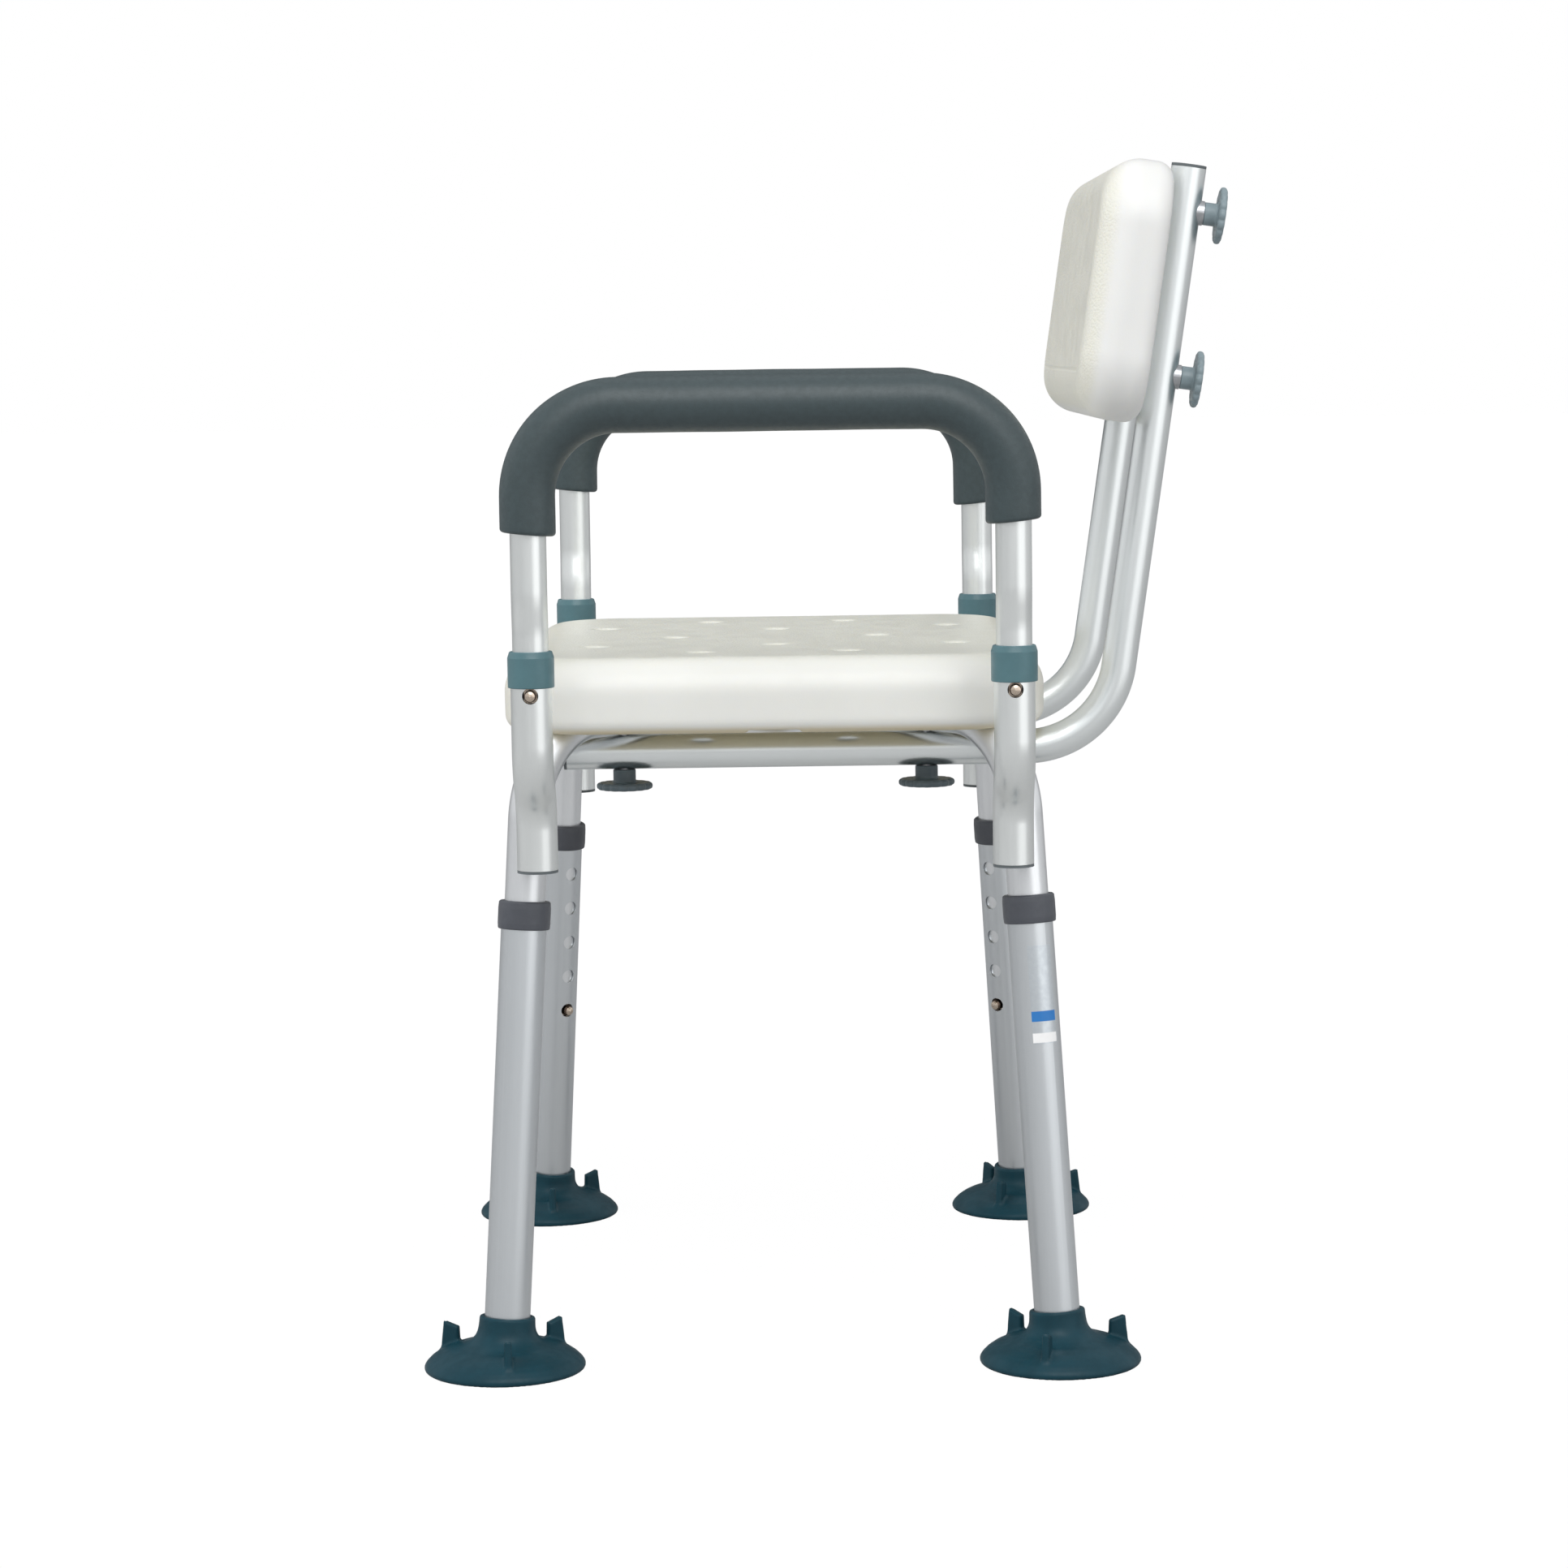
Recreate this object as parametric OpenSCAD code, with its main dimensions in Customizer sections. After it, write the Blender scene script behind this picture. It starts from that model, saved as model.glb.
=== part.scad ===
// Shower chair: blow-moulded seat and backrest, crossed leg frame, telescoping legs,
// pull-off armrests and suction feet.
// Millimetres. +Z is up, the chair faces -Y and stands on Z = 0. Left is the sitter's left, +X.
// The front feet and the back knobs set the middle of the footprint, so the seat's centre
// lies at seat_y and not at Y = 0.

/* [Seat] */
// Seat width, across the chair
seat_w = 418; // [400:1:426]
// Seat depth, front to back
seat_d = 343; // [330:1:350]
// Seat thickness
seat_t = 48; // [47:0.5:52]
// Height of the seat's top with the legs at their shortest
seat_top = 443; // [435:0.5:450]
// Corner radius of the seat, seen from above
seat_corner = 60; // [50:1:70]
// Radius of the seat's upper edges
seat_edge = 23; // [16:0.5:23]
// Radius of the seat's lower edges
seat_low_edge = 10; // [8:0.5:12]
// Diameter of the drain holes
drain_d = 13; // [10:0.5:16]

/* [Backrest] */
// Backrest width
back_w = 400; // [380:2:420]
// Backrest height along its lean
back_h = 164.5; // [160:0.5:170]
// Backrest thickness
back_t = 44.5; // [40:0.5:48]
// Corner radius of the backrest, seen from the front
back_corner = 42; // [41:0.5:50]
// Radius of the backrest's front edges
back_edge = 20.5; // [16:0.5:20.5]
// Radius of the backrest's rear edges
back_rear_edge = 12; // [10:0.5:14]
// Lean of the back from the vertical, in degrees
lean = 8.3; // [6:0.1:10]

/* [Tubes] */
// Outside diameter of the crossed leg frame tubes and of the armrest sockets
frame_od = 25.4; // [25.4, 25.0]
// Outside diameter of the lower leg tubes
leg_od = 28.6; // [28.6, 28.4]
// Outside diameter of the back tubes and armrest tubes
bar_od = 22.2; // [22.2, 22.0]
// Wall of the tubes
wall = 1.3; // [1.2:0.1:1.4]

/* [Legs] */
// Splay of the legs from the vertical, in degrees
splay = 5.48; // [5:0.02:6]
// Distance between adjustment holes
pitch = 25.4; // [25, 25.4]
// Diameter of the suction feet
foot_d = 101.2; // [96:0.2:104]

/* [Armrests] */
// Height of the middle of the armrest bar
arm_z = 601.4; // [590:0.2:610]
// Outside diameter of the foam grips
grip_od = 34; // [30:0.5:36]

/* [Knobs] */
// Diameter of the hand knobs
knob_d = 36; // [32:1:38]
// Thickness of the knob's disc
knob_disc = 4.5; // [4:0.5:6]

/* [Hidden] */
$fn = 64;

CREAM = [0.93, 0.93, 0.90];
ALU = [0.78, 0.79, 0.80];
STEEL = [0.66, 0.66, 0.67];
BRASS = [0.72, 0.60, 0.36];
TEAL = [0.25, 0.42, 0.46];
FOOT = [0.13, 0.29, 0.35];
DARK = [0.25, 0.27, 0.29];
KNOB = [0.35, 0.40, 0.42];
FOAM = [0.26, 0.31, 0.31];
LABEL = [0.85, 0.87, 0.90];

// corners of the chair, as signs along X and Y: front left, front right, rear left, rear right
CORNERS = [[1, -1], [-1, -1], [1, 1], [-1, 1]];

seat_y = -33.3;
skin = 3.2;
touch = 0.15;
frame_r = frame_od / 2;
leg_r = leg_od / 2;
bar_r = bar_od / 2;
seat_bottom = seat_top - seat_t;
frame_rise = 6.55;
frame_z = seat_bottom + frame_rise;
back_run_z = frame_z - frame_r - bar_r - touch;

// the leg frame tubes stand over the diagonals of the chair
diagonal = 36.87;
foot_reach = 290.3;
frame_bend = 65;
frame_end_s = 128;
frame_low = [foot_reach - frame_end_s * sin(splay), frame_end_s * cos(splay)];
frame_corner = foot_reach - frame_z * tan(splay);
dip = frame_od + 0.4;
dip_flat = 30;
dip_slope = 30;
dip_far = dip_flat + dip / tan(dip_slope);
dip_bend = 60;

// lower legs, measured along the leg from the floor
leg_start = 12;
leg_end = 291;
button_s = 157;
leg_bore = frame_r + 0.25;
collar_s = [276.3, 294.1];
collar_r = 16.5;
run_gap = 0.06;
hole_d = 9.8;
button_d = 7.4;
leaf_t = 0.8;

// armrest sockets
socket_x = 232.2;
socket_y = 147.4;
arm_x = 258.8;
grip_x = 262;
socket_low = 314.9;
socket_top = 451;
socket_bend = 34;
socket_slope = 50;
socket_s_low = 355.9;
socket_s_high = socket_s_low + (arm_x - socket_x) / tan(socket_slope);
socket_bore = frame_r - wall;
teal_z = [430.4, 452.6];
teal_r = 14.3;
arm_button_z = 426;
rivet_z = [323, 335];
rivet_d = 4.8;

// armrests
post_low = 396;
arm_s_low = 466;
arm_s_high = 484;
arm_bend = 55;
small_bend = 60;

// back tubes
back_x = 129.5;
back_bend = 60;
back_front_y = -134;
back_foot_y = 222.6;
back_foot_z = 440;
back_top_t = 307.5;
back_mid_t = 225.2;
back_knob_t = [279.9, 175.8];
stud_r = 3;
stud_hole_r = 3.3;
saddle_t = 2;
insert_r = 4.5;
insert_h = 12;
knob_y = back_x * tan(diagonal);
hub_r = 7.25;
hub_h = 8.5;
drain_post = drain_d / 2 + skin;
drains = [[84, 117.5], [142, 47]];
mid_drains = [[73, 0], [-73, 0], [0, 67.5], [0, -67.5]];
back_corner_y = back_foot_y + (back_run_z - back_foot_z) * tan(lean);

// ---------- bars that follow straight lines and true bends ----------

function unit(v) = v / norm(v);
function turn(p, i) = acos(unit(p[i] - p[i - 1]) * unit(p[i + 1] - p[i]));
function tangent(p, b, i) = b[i] * tan(turn(p, i) / 2);

// a bar from one point to another, shortened by near and far at its ends
module straight(from, to, near, far, r) {
  d = unit(to - from);
  translate(from + d * near)
    rotate([0, acos(d[2]), atan2(d[1], d[0])])
      cylinder(h = norm(to - from) - near - far, r = r);
}

// the bend at corner i of the line p
module bend(p, b, i, r) {
  a = unit(p[i] - p[i - 1]);
  c = unit(p[i + 1] - p[i]);
  t = turn(p, i);
  mid = p[i] + unit(c - a) * b[i] / cos(t / 2);
  ex = unit(p[i] - a * tangent(p, b, i) - mid);
  ez = cross(ex, a);
  multmatrix([
    [ex[0], a[0], ez[0], mid[0]],
    [ex[1], a[1], ez[1], mid[1]],
    [ex[2], a[2], ez[2], mid[2]],
    [0, 0, 0, 1]
  ])
    rotate_extrude(angle = t)
      translate([b[i], 0])
        circle(r = r);
}

// p are the corner points, b the bend radii, and grow lengthens both ends
// straight lengths run lap past the bends' ends, and the bends are thinner by draw, as drawn
// tube is
module swept(p, b, r, grow = 0) {
  lap = 0.5;
  draw = 0.03;
  last = len(p) - 1;
  for (i = [0 : last - 1])
    straight(
      p[i], p[i + 1],
      i == 0 ? -grow : tangent(p, b, i) - lap,
      i == last - 1 ? -grow : tangent(p, b, i + 1) - lap,
      r
    );
  for (i = [1 : last - 1])
    bend(p, b, i, r - draw);
}

module tube(p, b, r) {
  difference() {
    swept(p, b, r);
    swept(p, b, r - wall, 1);
  }
}

// ---------- placing ----------

// the azimuth of a leg, from the signs of its corner
function azimuth(c) = atan2(c[1] * sin(diagonal), c[0] * cos(diagonal));

// local Z runs up the leg from the floor and local X points away from the chair's middle
module on_leg(c) {
  translate([c[0] * foot_reach * cos(diagonal), seat_y + c[1] * foot_reach * sin(diagonal), 0])
    rotate([0, 0, azimuth(c)])
      rotate([0, -splay, 0])
        children();
}

// local Z runs up the back tubes and local Y points to the rear
module on_back() {
  translate([0, seat_y + back_foot_y, back_foot_z])
    rotate([-lean, 0, 0])
      children();
}

// ---------- rounded slab ----------

// half of the slab's section, from its middle to its rounded edges of radius low and high
module slab_edge(reach, t, low, high) {
  square([reach - low, low]);
  translate([0, low])
    square([reach, t - low - high]);
  translate([0, t - high])
    square([reach - high, high]);
  translate([reach - low, low])
    circle(r = low);
  translate([reach - high, t - high])
    circle(r = high);
}

module slab(w, d, t, corner, low, high) {
  translate([-w / 2 + corner, -d / 2 + corner, 0])
    cube([w - 2 * corner, d - 2 * corner, t]);
  for (q = [0 : 3])
    rotate([0, 0, 90 * q])
      translate([(q % 2 == 0 ? w : d) / 2 - corner, 0, 0])
        rotate([90, 0, 0])
          linear_extrude(height = (q % 2 == 0 ? d : w) - 2 * corner, center = true)
            slab_edge(corner, t, low, high);
  for (q = [0 : 3])
    translate([
      (q == 0 || q == 3 ? 1 : -1) * (w / 2 - corner),
      (q < 2 ? 1 : -1) * (d / 2 - corner),
      0
    ])
      rotate([0, 0, 90 * q])
        rotate_extrude(angle = 90)
          slab_edge(corner, t, low, high);
}

// ---------- seat ----------

// leg frame tube lines, in the plane of their diagonal: local X along it, local Z up
function frame_line_a() = [
  [frame_low[0], 0, frame_low[1]], [frame_corner, 0, frame_z],
  [-frame_corner, 0, frame_z], [-frame_low[0], 0, frame_low[1]]
];
frame_bends_a = [0, frame_bend, frame_bend, 0];
function frame_line_b() = [
  [frame_low[0], 0, frame_low[1]], [frame_corner, 0, frame_z],
  [dip_far, 0, frame_z], [dip_flat, 0, frame_z - dip],
  [-dip_flat, 0, frame_z - dip], [-dip_far, 0, frame_z],
  [-frame_corner, 0, frame_z], [-frame_low[0], 0, frame_low[1]]
];
frame_bends_b = [0, frame_bend, dip_bend, dip_bend, dip_bend, dip_bend, frame_bend, 0];

module on_diagonal(sign) {
  translate([0, seat_y, 0])
    rotate([0, 0, sign * diagonal])
      children();
}

// the seat's underside channels, a little wider than the tubes
module channels() {
  clear = 0.6;
  slot = frame_od + 2 * clear + 1.2;
  on_diagonal(-1)
    swept(frame_line_a(), frame_bends_a, frame_r + clear);
  on_diagonal(1)
    swept(frame_line_b(), frame_bends_b, frame_r + clear);
  for (s = [-1, 1])
    on_diagonal(s)
      translate([-222, -slot / 2, frame_z - 40])
        cube([444, slot, 40]);
}

// what stays solid round the channels inside the hollow seat
module channel_walls() {
  r = frame_r + 0.6 + skin;
  for (s = [-1, 1])
    on_diagonal(s) {
      translate([0, 0, frame_z])
        rotate([0, 90, 0])
          cylinder(h = 520, r = r, center = true);
      translate([-260, -r - 0.6, frame_z - 40])
        cube([520, 2 * r + 1.2, 40]);
    }
}

module at_drains() {
  for (c = CORNERS, p = drains)
    translate([c[0] * p[0], seat_y + c[1] * p[1], seat_bottom - 1])
      children();
  for (p = mid_drains)
    translate([p[0], seat_y + p[1], seat_bottom - 1])
      children();
}

module at_seat_knobs() {
  for (c = CORNERS)
    translate([c[0] * back_x, seat_y + c[1] * knob_y, 0])
      children();
}

module seat_hollow() {
  pad = 20;
  difference() {
    translate([0, seat_y, seat_bottom + skin])
      slab(
        seat_w - 2 * skin, seat_d - 2 * skin, seat_t - 2 * skin,
        seat_corner - skin, seat_low_edge - skin, seat_edge - skin
      );
    channel_walls();
    at_drains()
      cylinder(h = seat_t + 2, r = drain_post);
    at_seat_knobs()
      translate([0, 0, seat_bottom])
        cylinder(h = seat_t, r = insert_r + 4);
    translate([0, seat_y, seat_bottom])
      cylinder(h = frame_rise + frame_r + 12, r = 13);
    for (s = [-1, 1])
      translate([s * (seat_w / 2 - pad / 2), seat_y, seat_bottom])
        cube([2 * pad, 42, 14], center = true);
  }
}

module seat() {
  bolt_pocket = 8;
  notch = 33;
  color(CREAM)
    difference() {
      translate([0, seat_y, seat_bottom])
        slab(seat_w, seat_d, seat_t, seat_corner, seat_low_edge, seat_edge);
      channels();
      seat_hollow();
      at_drains()
        cylinder(h = seat_t + 2, d = drain_d);
      at_seat_knobs()
        translate([0, 0, frame_z])
          cylinder(h = frame_r + 0.6 + insert_h + 1, r = insert_r + 0.02);
      translate([0, seat_y, frame_z])
        cylinder(h = frame_r + 5, r = bolt_pocket);
      for (s = [-1, 1])
        translate([s * seat_w / 2, seat_y, seat_bottom])
          cube([62, notch, 4.8], center = true);
      // vent of the hollow
      translate([0, seat_y - 120, seat_bottom - 1])
        cylinder(h = 8, d = 6);
    }
}

module seat_inserts() {
  color(BRASS)
    at_seat_knobs()
      translate([0, 0, frame_z + frame_r + 0.7])
        difference() {
          cylinder(h = insert_h, r = insert_r);
          translate([0, 0, -1])
            cylinder(h = insert_h + 2, r = stud_r + run_gap);
        }
}

// ---------- backrest ----------

module back_slab(inset) {
  translate([0, -bar_r - touch - inset, back_mid_t])
    rotate([90, 0, 0])
      slab(
        back_w - 2 * inset, back_h - 2 * inset, back_t - 2 * inset,
        back_corner - inset, back_rear_edge - inset, back_edge - inset
      );
}

module at_back_knobs() {
  for (s = [-1, 1], t = back_knob_t)
    translate([s * back_x, 0, t])
      rotate([90, 0, 0])
        children();
}

module backrest() {
  groove_t = 171;
  color(CREAM)
    on_back()
      difference() {
        back_slab(0);
        difference() {
          back_slab(skin);
          at_back_knobs()
            cylinder(h = bar_r + touch + back_t, r = insert_r + 4);
        }
        at_back_knobs()
          cylinder(h = bar_r + touch + insert_h + 2, r = insert_r + 0.02);
        // crease across the front, near its lower edge
        translate([-165, -bar_r - touch - back_t - 1, groove_t])
          cube([330, 1.8, 1.6]);
        // vent of the hollow, in the lower edge
        translate([0, -bar_r - touch - back_t / 2, back_mid_t - back_h / 2 - 1])
          cylinder(h = 8, d = 6);
      }
}

module back_inserts() {
  color(BRASS)
    on_back()
      at_back_knobs()
        translate([0, 0, bar_r + touch + 0.5])
          difference() {
            cylinder(h = insert_h, r = insert_r);
            translate([0, 0, -1])
              cylinder(h = insert_h + 2, r = stud_r + run_gap);
          }
}

// ---------- leg frame ----------

// holes for the leg buttons, the sockets' rivets and the knob studs
module frame_holes() {
  for (c = CORNERS)
    on_leg(c)
      translate([-frame_od, 0, button_s])
        rotate([0, 90, 0])
          cylinder(h = frame_od, d = hole_d);
  at_seat_knobs()
    translate([0, 0, frame_z - frame_od])
      cylinder(h = 2 * frame_od, r = stud_hole_r);
  at_rivets()
    cylinder(h = 12, d = rivet_d + 0.1, center = true);
  translate([0, seat_y, frame_z - 50])
    cylinder(h = 80, r = stud_hole_r);
}

module leg_frame_tube_a() {
  color(ALU)
    difference() {
      on_diagonal(-1)
        tube(frame_line_a(), frame_bends_a, frame_r);
      frame_holes();
    }
}

module leg_frame_tube_b() {
  color(ALU)
    difference() {
      on_diagonal(1)
        tube(frame_line_b(), frame_bends_b, frame_r);
      frame_holes();
    }
}

module frame_cross_bolt() {
  color(STEEL)
    translate([0, seat_y, 0]) {
      translate([0, 0, frame_z + frame_r + 0.1])
        cylinder(h = 3, r = 6);
      translate([0, 0, frame_z - dip - frame_r - 7])
        cylinder(h = dip + frame_od + 7.5, r = stud_r);
    }
}

module frame_cross_nut() {
  color(STEEL)
    translate([0, seat_y, frame_z - dip - frame_r - 5.1])
      difference() {
        cylinder(h = 5, r = 5.77, $fn = 6);
        translate([0, 0, -1])
          cylinder(h = 7, r = stud_r + 0.02);
      }
}

// ---------- armrest sockets ----------

function socket_line(c) = [
  [c[0] * socket_x, seat_y + c[1] * socket_y, socket_low],
  [c[0] * socket_x, seat_y + c[1] * socket_y, socket_s_low],
  [c[0] * arm_x, seat_y + c[1] * socket_y, socket_s_high],
  [c[0] * arm_x, seat_y + c[1] * socket_y, socket_top]
];
socket_bends = [0, socket_bend, socket_bend, 0];

// the point of the leg axis at height z, as a distance along the diagonal
function leg_at(z) = foot_reach - z * tan(splay);

// each rivet's local Z runs from the leg to its socket, and its origin is midway
module at_rivets() {
  for (c = CORNERS, z = rivet_z) {
    lx = c[0] * leg_at(z) * cos(diagonal);
    ly = seat_y + c[1] * leg_at(z) * sin(diagonal);
    sx = c[0] * socket_x;
    sy = seat_y + c[1] * socket_y;
    translate([(lx + sx) / 2, (ly + sy) / 2, z])
      rotate([0, 0, atan2(sy - ly, sx - lx)])
        rotate([0, 90, 0])
          children();
  }
}

module socket(c) {
  color(ALU)
    difference() {
      tube(socket_line(c), socket_bends, frame_r);
      translate([c[0] * arm_x, seat_y + c[1] * socket_y, arm_button_z])
        rotate([0, 90 * c[0], 0])
          cylinder(h = frame_od, d = hole_d);
      at_rivets()
        cylinder(h = 12, d = rivet_d + 0.1, center = true);
    }
}

module socket_rivets() {
  reach = 2.6;
  color(STEEL)
    at_rivets() {
      cylinder(h = 2 * reach + 1, d = rivet_d, center = true);
      for (s = [-1, 1])
        translate([0, 0, s * (reach + 1)])
          cylinder(h = 1.6, d = 8.4, center = true);
    }
}

// soft collar that caps a socket and guides the armrest post
module socket_collars() {
  color(TEAL)
    for (c = CORNERS)
      translate([c[0] * arm_x, seat_y + c[1] * socket_y, 0])
        rotate_extrude()
          difference() {
            polygon([
              [bar_r + run_gap, teal_z[0]], [teal_r, teal_z[0]],
              [teal_r, teal_z[1] - 2], [teal_r - 1, teal_z[1]],
              [bar_r + run_gap, teal_z[1]]
            ]);
            translate([0, teal_z[0] - 1])
              square([frame_r + 0.05, socket_top - teal_z[0] + 1.05]);
          }
}

module socket_end_caps() {
  color(DARK)
    for (c = CORNERS)
      translate([c[0] * socket_x, seat_y + c[1] * socket_y, socket_low]) {
        translate([0, 0, -1.55])
          cylinder(h = 1.5, r = frame_r);
        translate([0, 0, -0.5])
          cylinder(h = 3.5, r = socket_bore - 0.05);
      }
}

// ---------- back tubes ----------

function back_line(s) = [
  [s * back_x, seat_y + back_front_y, back_run_z],
  [s * back_x, seat_y + back_corner_y, back_run_z],
  [
    s * back_x,
    seat_y + back_foot_y + back_top_t * sin(lean),
    back_foot_z + back_top_t * cos(lean)
  ]
];
back_bends = [0, back_bend, 0];

module back_tube(s) {
  color(ALU)
    difference() {
      tube(back_line(s), back_bends, bar_r);
      at_seat_knobs()
        translate([0, 0, back_run_z - bar_od])
          cylinder(h = 2 * bar_od, r = stud_hole_r);
      on_back()
        for (t = back_knob_t)
          translate([s * back_x, 0, t])
            rotate([90, 0, 0])
              cylinder(h = 2 * bar_od, r = stud_hole_r, center = true);
    }
}

module bar_cap() {
  translate([0, 0, 0.05])
    cylinder(h = 1.6, r = bar_r);
  translate([0, 0, -9])
    cylinder(h = 9.5, r = bar_r - wall - 0.05);
}

module back_tube_caps() {
  color(DARK)
    for (s = [-1, 1]) {
      translate([s * back_x, seat_y + back_front_y, back_run_z])
        rotate([90, 0, 0])
          bar_cap();
      on_back()
        translate([s * back_x, 0, back_top_t])
          bar_cap();
    }
}

// curved washers between the back tubes and the knobs behind them
module saddle_washers() {
  color(DARK)
    on_back()
      for (s = [-1, 1], t = back_knob_t)
        translate([s * back_x, 0, t])
          difference() {
            rotate([-90, 0, 0])
              cylinder(h = bar_r + saddle_t - 0.1, r = hub_r + 0.5);
            cylinder(h = 40, r = bar_r + 0.05, center = true);
            rotate([-90, 0, 0])
              cylinder(h = 40, r = stud_hole_r);
          }
}

// ---------- lower legs ----------

module leg_tube(c) {
  color(ALU)
    on_leg(c)
      difference() {
        translate([0, 0, leg_start])
          cylinder(h = leg_end - leg_start, r = leg_r);
        translate([0, 0, leg_start - 1])
          cylinder(h = leg_end - leg_start + 2, r = leg_bore);
        for (k = [0 : 4])
          translate([-leg_od, 0, button_s + k * pitch])
            rotate([0, 90, 0])
              cylinder(h = leg_od, d = hole_d);
      }
}

module leg_collar(c) {
  color(DARK)
    on_leg(c)
      rotate_extrude()
        difference() {
          polygon([
            [frame_r + run_gap, collar_s[0]], [collar_r - 0.8, collar_s[0]],
            [collar_r, collar_s[0] + 0.8], [collar_r, collar_s[1] - 1.2],
            [collar_r - 1.2, collar_s[1]], [frame_r + run_gap, collar_s[1]]
          ]);
          translate([0, collar_s[0] - 1])
            square([leg_r + 0.05, leg_end - collar_s[0] + 1.05]);
        }
}

// the foot's outline, as radius and height
foot_line = [
  [0, 0], [foot_d / 2 - 1.2, 0], [foot_d / 2, 1.2], [foot_d / 2, 3], [foot_d / 2 - 1.2, 5.4],
  [foot_d / 2 - 4, 8.2], [foot_d / 2 - 8, 10.8], [foot_d / 2 - 13, 12.9],
  [foot_d / 2 - 19, 14.6], [foot_d / 2 - 25, 16.2], [22.5, 18.2], [0, 19.6]
];
neck_line = [[0, 8], [21, 14], [20, 18.6], [18.9, 22], [18.1, 27], [17.5, 33], [0, 33]];

module foot_tab() {
  tab_t = 4.5;
  rotate([90, 0, 0])
    linear_extrude(height = tab_t, center = true)
      polygon([[31.5, 10], [32.5, 24.6], [42.3, 27.6], [44.8, 7]]);
}

// spin turns the three pull tabs
module foot(c, spin) {
  hollow = 5;
  color(FOOT)
    difference() {
      union() {
        on_leg(c)
          rotate_extrude()
            polygon(neck_line);
        translate([
          c[0] * foot_reach * cos(diagonal), seat_y + c[1] * foot_reach * sin(diagonal), 0
        ]) {
          rotate_extrude()
            polygon(foot_line);
          for (k = [0 : 2])
            rotate([0, 0, spin + 120 * k])
              foot_tab();
        }
      }
      on_leg(c)
        translate([0, 0, leg_start - 0.3])
          cylinder(h = 40, r = leg_r + 0.03);
      translate([
        c[0] * foot_reach * cos(diagonal), seat_y + c[1] * foot_reach * sin(diagonal), 0
      ])
        rotate_extrude()
          polygon([[0, -1], [44, -1], [44, 0], [34, 2.6], [20, 4.4], [0, hollow]]);
    }
}

module leg_label() {
  label_s = [201, 262.5];
  label_t = 0.25;
  label_angle = 64;
  color(LABEL)
    on_leg([1, 1])
      rotate([0, 0, -label_angle / 2 - 20])
        rotate_extrude(angle = label_angle)
          translate([leg_r + 0.02, label_s[0]])
            square([label_t, label_s[1] - label_s[0]]);
}

// ---------- snap buttons ----------

// button with its leaf spring: local Z is the way it is pressed out, z = 0 on the tube's middle
module snap_button(inner_r, outer_r) {
  stem_top = outer_r + 1.6;
  rotate_extrude()
    polygon([
      [0, inner_r - wall - 2], [button_d / 2, inner_r - wall - 2], [button_d / 2, stem_top],
      [button_d / 2 - 0.7, stem_top + 1.1], [button_d / 2 - 2, stem_top + 1.9],
      [0, stem_top + 2.3]
    ]);
  translate([-4, -4.5, inner_r - wall - 2 - leaf_t])
    cube([8, 46, leaf_t + 0.2]);
}

module leg_button(c) {
  color(BRASS)
    on_leg(c)
      translate([0, 0, button_s])
        rotate([0, -90, 0])
          rotate([0, 0, -90])
            snap_button(frame_r, leg_r);
}

module arm_button(c) {
  color(BRASS)
    translate([c[0] * arm_x, seat_y + c[1] * socket_y, arm_button_z])
      rotate([0, 90 * c[0], 0])
        rotate([0, 0, 90 * c[0]])
          snap_button(bar_r, frame_r);
}

// ---------- armrests ----------

function arm_line(s) = [
  [s * arm_x, seat_y - socket_y, post_low],
  [s * arm_x, seat_y - socket_y, arm_s_low],
  [s * grip_x, seat_y - socket_y, arm_s_high],
  [s * grip_x, seat_y - socket_y, arm_z],
  [s * grip_x, seat_y + socket_y, arm_z],
  [s * grip_x, seat_y + socket_y, arm_s_high],
  [s * arm_x, seat_y + socket_y, arm_s_low],
  [s * arm_x, seat_y + socket_y, post_low]
];
arm_bends = [0, small_bend, small_bend, arm_bend, arm_bend, small_bend, small_bend, 0];

module armrest_tube(s) {
  color(ALU)
    difference() {
      tube(arm_line(s), arm_bends, bar_r);
      for (e = [-1, 1])
        translate([s * arm_x, seat_y + e * socket_y, arm_button_z])
          rotate([0, 90 * s, 0])
            cylinder(h = bar_od, d = hole_d);
    }
}

// front and rear are the heights of the grip's two ends
module armrest_grip(s, front, rear) {
  p = [
    [s * grip_x, seat_y - socket_y, front], [s * grip_x, seat_y - socket_y, arm_z],
    [s * grip_x, seat_y + socket_y, arm_z], [s * grip_x, seat_y + socket_y, rear]
  ];
  b = [0, arm_bend, arm_bend, 0];
  color(FOAM)
    difference() {
      swept(p, b, grip_od / 2);
      swept(p, b, bar_r + 0.04, 1);
    }
}

// ---------- knobs ----------

// local Z points away from the tube, z = 0 where the hub meets it
module knob_head() {
  scallops = 16;
  color(KNOB)
    difference() {
      union() {
        cylinder(h = hub_h + 1, r = hub_r);
        rotate_extrude()
          polygon([
            [0, hub_h], [knob_d / 2 - 1.2, hub_h], [knob_d / 2, hub_h + 1.2],
            [knob_d / 2, hub_h + knob_disc - 1.2], [knob_d / 2 - 1.2, hub_h + knob_disc],
            [0, hub_h + knob_disc]
          ]);
      }
      translate([0, 0, -1])
        cylinder(h = hub_h + 1, r = stud_r + 0.02);
      for (k = [0 : scallops - 1])
        rotate([0, 0, k * 360 / scallops])
          translate([knob_d / 2 + 1.6, 0, hub_h - 1])
            cylinder(h = knob_disc + 2, r = 2.2);
    }
}

// the stud is moulded in the knob, and goes up from the hub by reach
module stud(reach) {
  color(STEEL)
    translate([0, 0, -reach])
      cylinder(h = reach + hub_h - 0.1, r = stud_r);
}

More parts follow.
